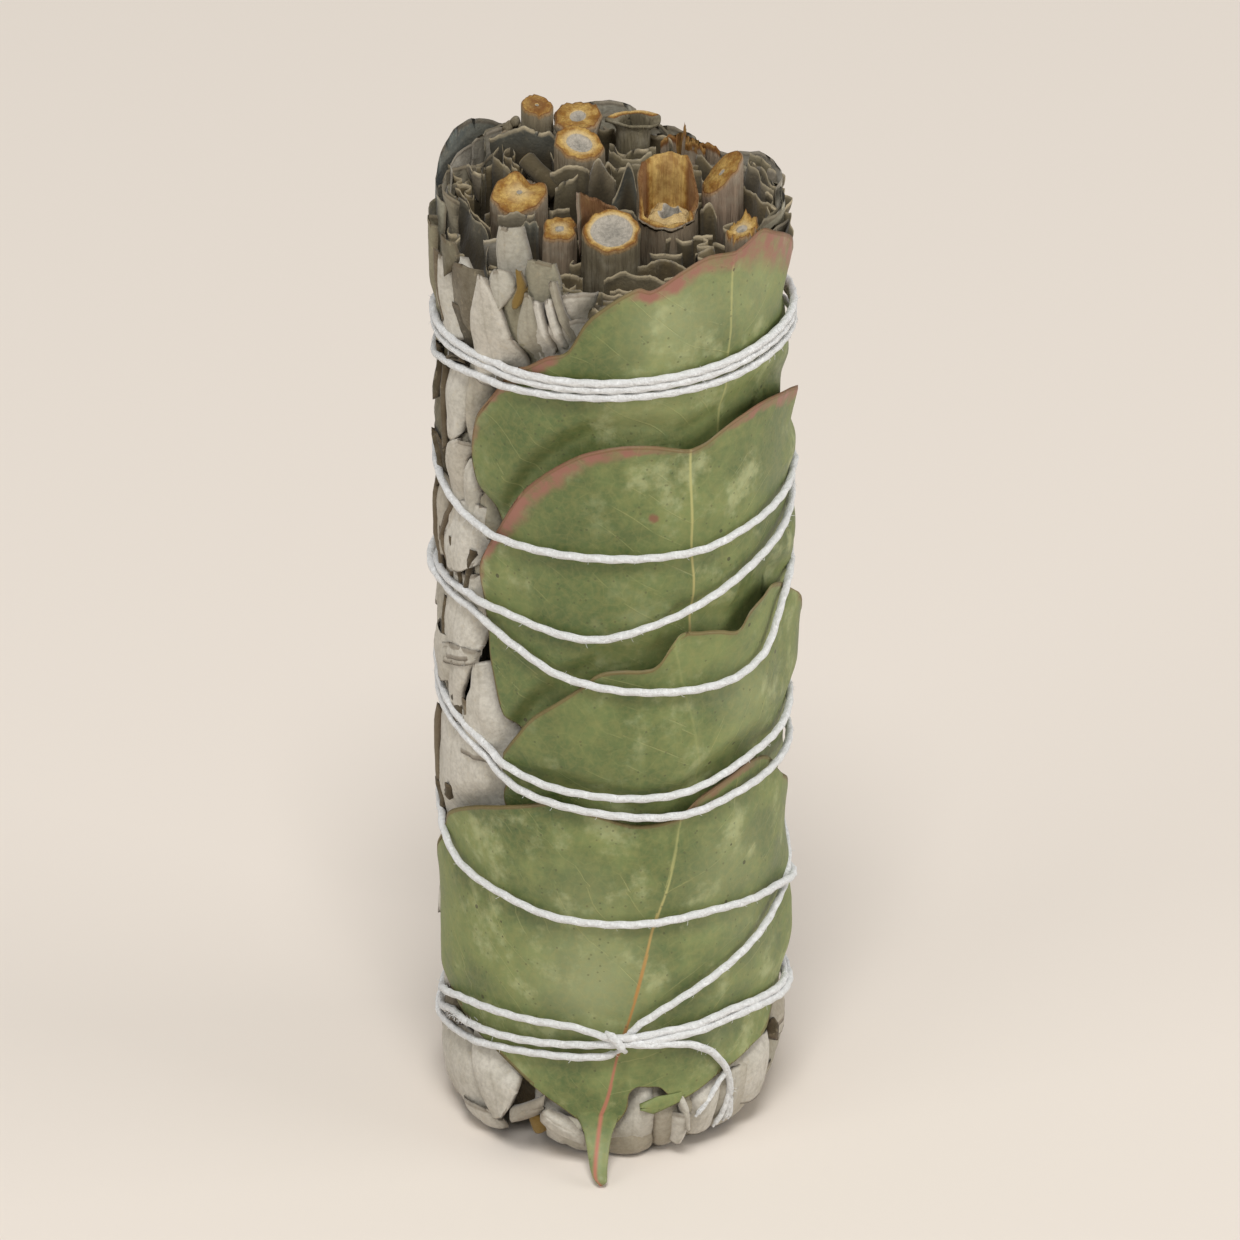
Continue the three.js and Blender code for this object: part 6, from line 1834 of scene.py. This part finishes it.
def add_fibres(bm, points, count, seed):
    """Short loose fibres that stand off the yarn: one net, with every other column cut away."""
    columns = 2 * count - 1
    verts = bmesh.ops.create_grid(bm, x_segments=columns, y_segments=3, size=0.5)["verts"]
    places = {vert: (round((vert.co.x + 0.5) * columns), vert.co.y + 0.5) for vert in verts}
    for vert, (column, share) in places.items():
        vert.co = fibre_point(points, seed + column // 2, column % 2 - 0.5, share)
    kept, cut_away = [], []
    for face in dict.fromkeys(face for vert in verts for face in vert.link_faces):
        on_one = len({places[vert][0] // 2 for vert in face.verts}) == 1
        (kept if on_one else cut_away).append(face)
    bmesh.ops.delete(bm, geom=cut_away, context="FACES_ONLY")
    bmesh.ops.solidify(bm, geom=kept, thickness=0.03)


def fibre_point(points, seed, side, share):
    spot = points[int(draw(seed) * (len(points) - 1))]
    out = Vector((spot.x, spot.y, 0)).normalized()
    run = Vector((-out.y, out.x, 0))
    tilt = between(-1.4, 1.4, seed + 0.3)
    start = (out * math.cos(tilt) + Vector((0, 0, 1)) * math.sin(tilt)).normalized()
    bend = run * between(-1, 1, seed + 0.5) + Vector((0, 0, between(-0.4, 0.4, seed + 0.7)))
    reach = (start * share + bend * share * share * 0.9) * between(0.15, 0.5, seed + 0.9)
    return spot + start * YARN_RADIUS * 0.8 + reach + run.cross(start) * side * 0.05 * (1 - share * 0.7)

# %% [markdown]
# ### The finish of cotton
# Undyed cotton is nearly white, with greyer flecks between its threads. The fibres scatter light
# softly, and a fine bump roughens them.

# %% Cotton material and the twine piece
COTTON_WHITE = (0.765, 0.768, 0.758, 1)
COTTON_FURROW = (0.53, 0.52, 0.495, 1)
FIBRE_COUNT = 700


def make_cotton_material():
    coat = Finish("cotton", COTTON_WHITE, 0.9)
    strands = coat.mottle(2400, 4, 0.35, 0.65)
    coat.over(COTTON_FURROW, strands, 0.35)
    coat.skin["Sheen Weight"].default_value = 0.3
    coat.skin["Specular IOR Level"].default_value = 0.2
    return coat.done(strands, 0.6, 0.0002)


COTTON = make_cotton_material()
bm = new_bmesh()
main_line = evenly(wound, YARN_STEP)
add_yarn(bm, main_line, YARN_RADIUS, 1)
tail_line = evenly(laid_points(TAIL), YARN_STEP)
add_yarn(bm, tail_line, YARN_RADIUS, 5)
add_yarn(bm, evenly(laid_points(KNOT_WRAP), YARN_STEP), YARN_RADIUS * 1.15, 7)
for k, fray in enumerate(FRAYS):
    add_yarn(bm, evenly(laid_points(fray), YARN_STEP / 2), YARN_RADIUS * 0.72, 9 + k)
add_fibres(bm, main_line, FIBRE_COUNT, 50)
add_fibres(bm, tail_line[-30:], 60, 70)
add_fibres(bm, evenly(laid_points(LEFT_WEB), YARN_STEP), 90, 90)
finish_piece(bm, "cotton_twine_wound", COTTON, "twine")
print("twine with its tail:", round((length_of(main_line) + length_of(tail_line)) / 1000, 3), "m")

# %% [markdown]
# ## Sizes and the end
# The finer pieces stay inside the room that the solids take.
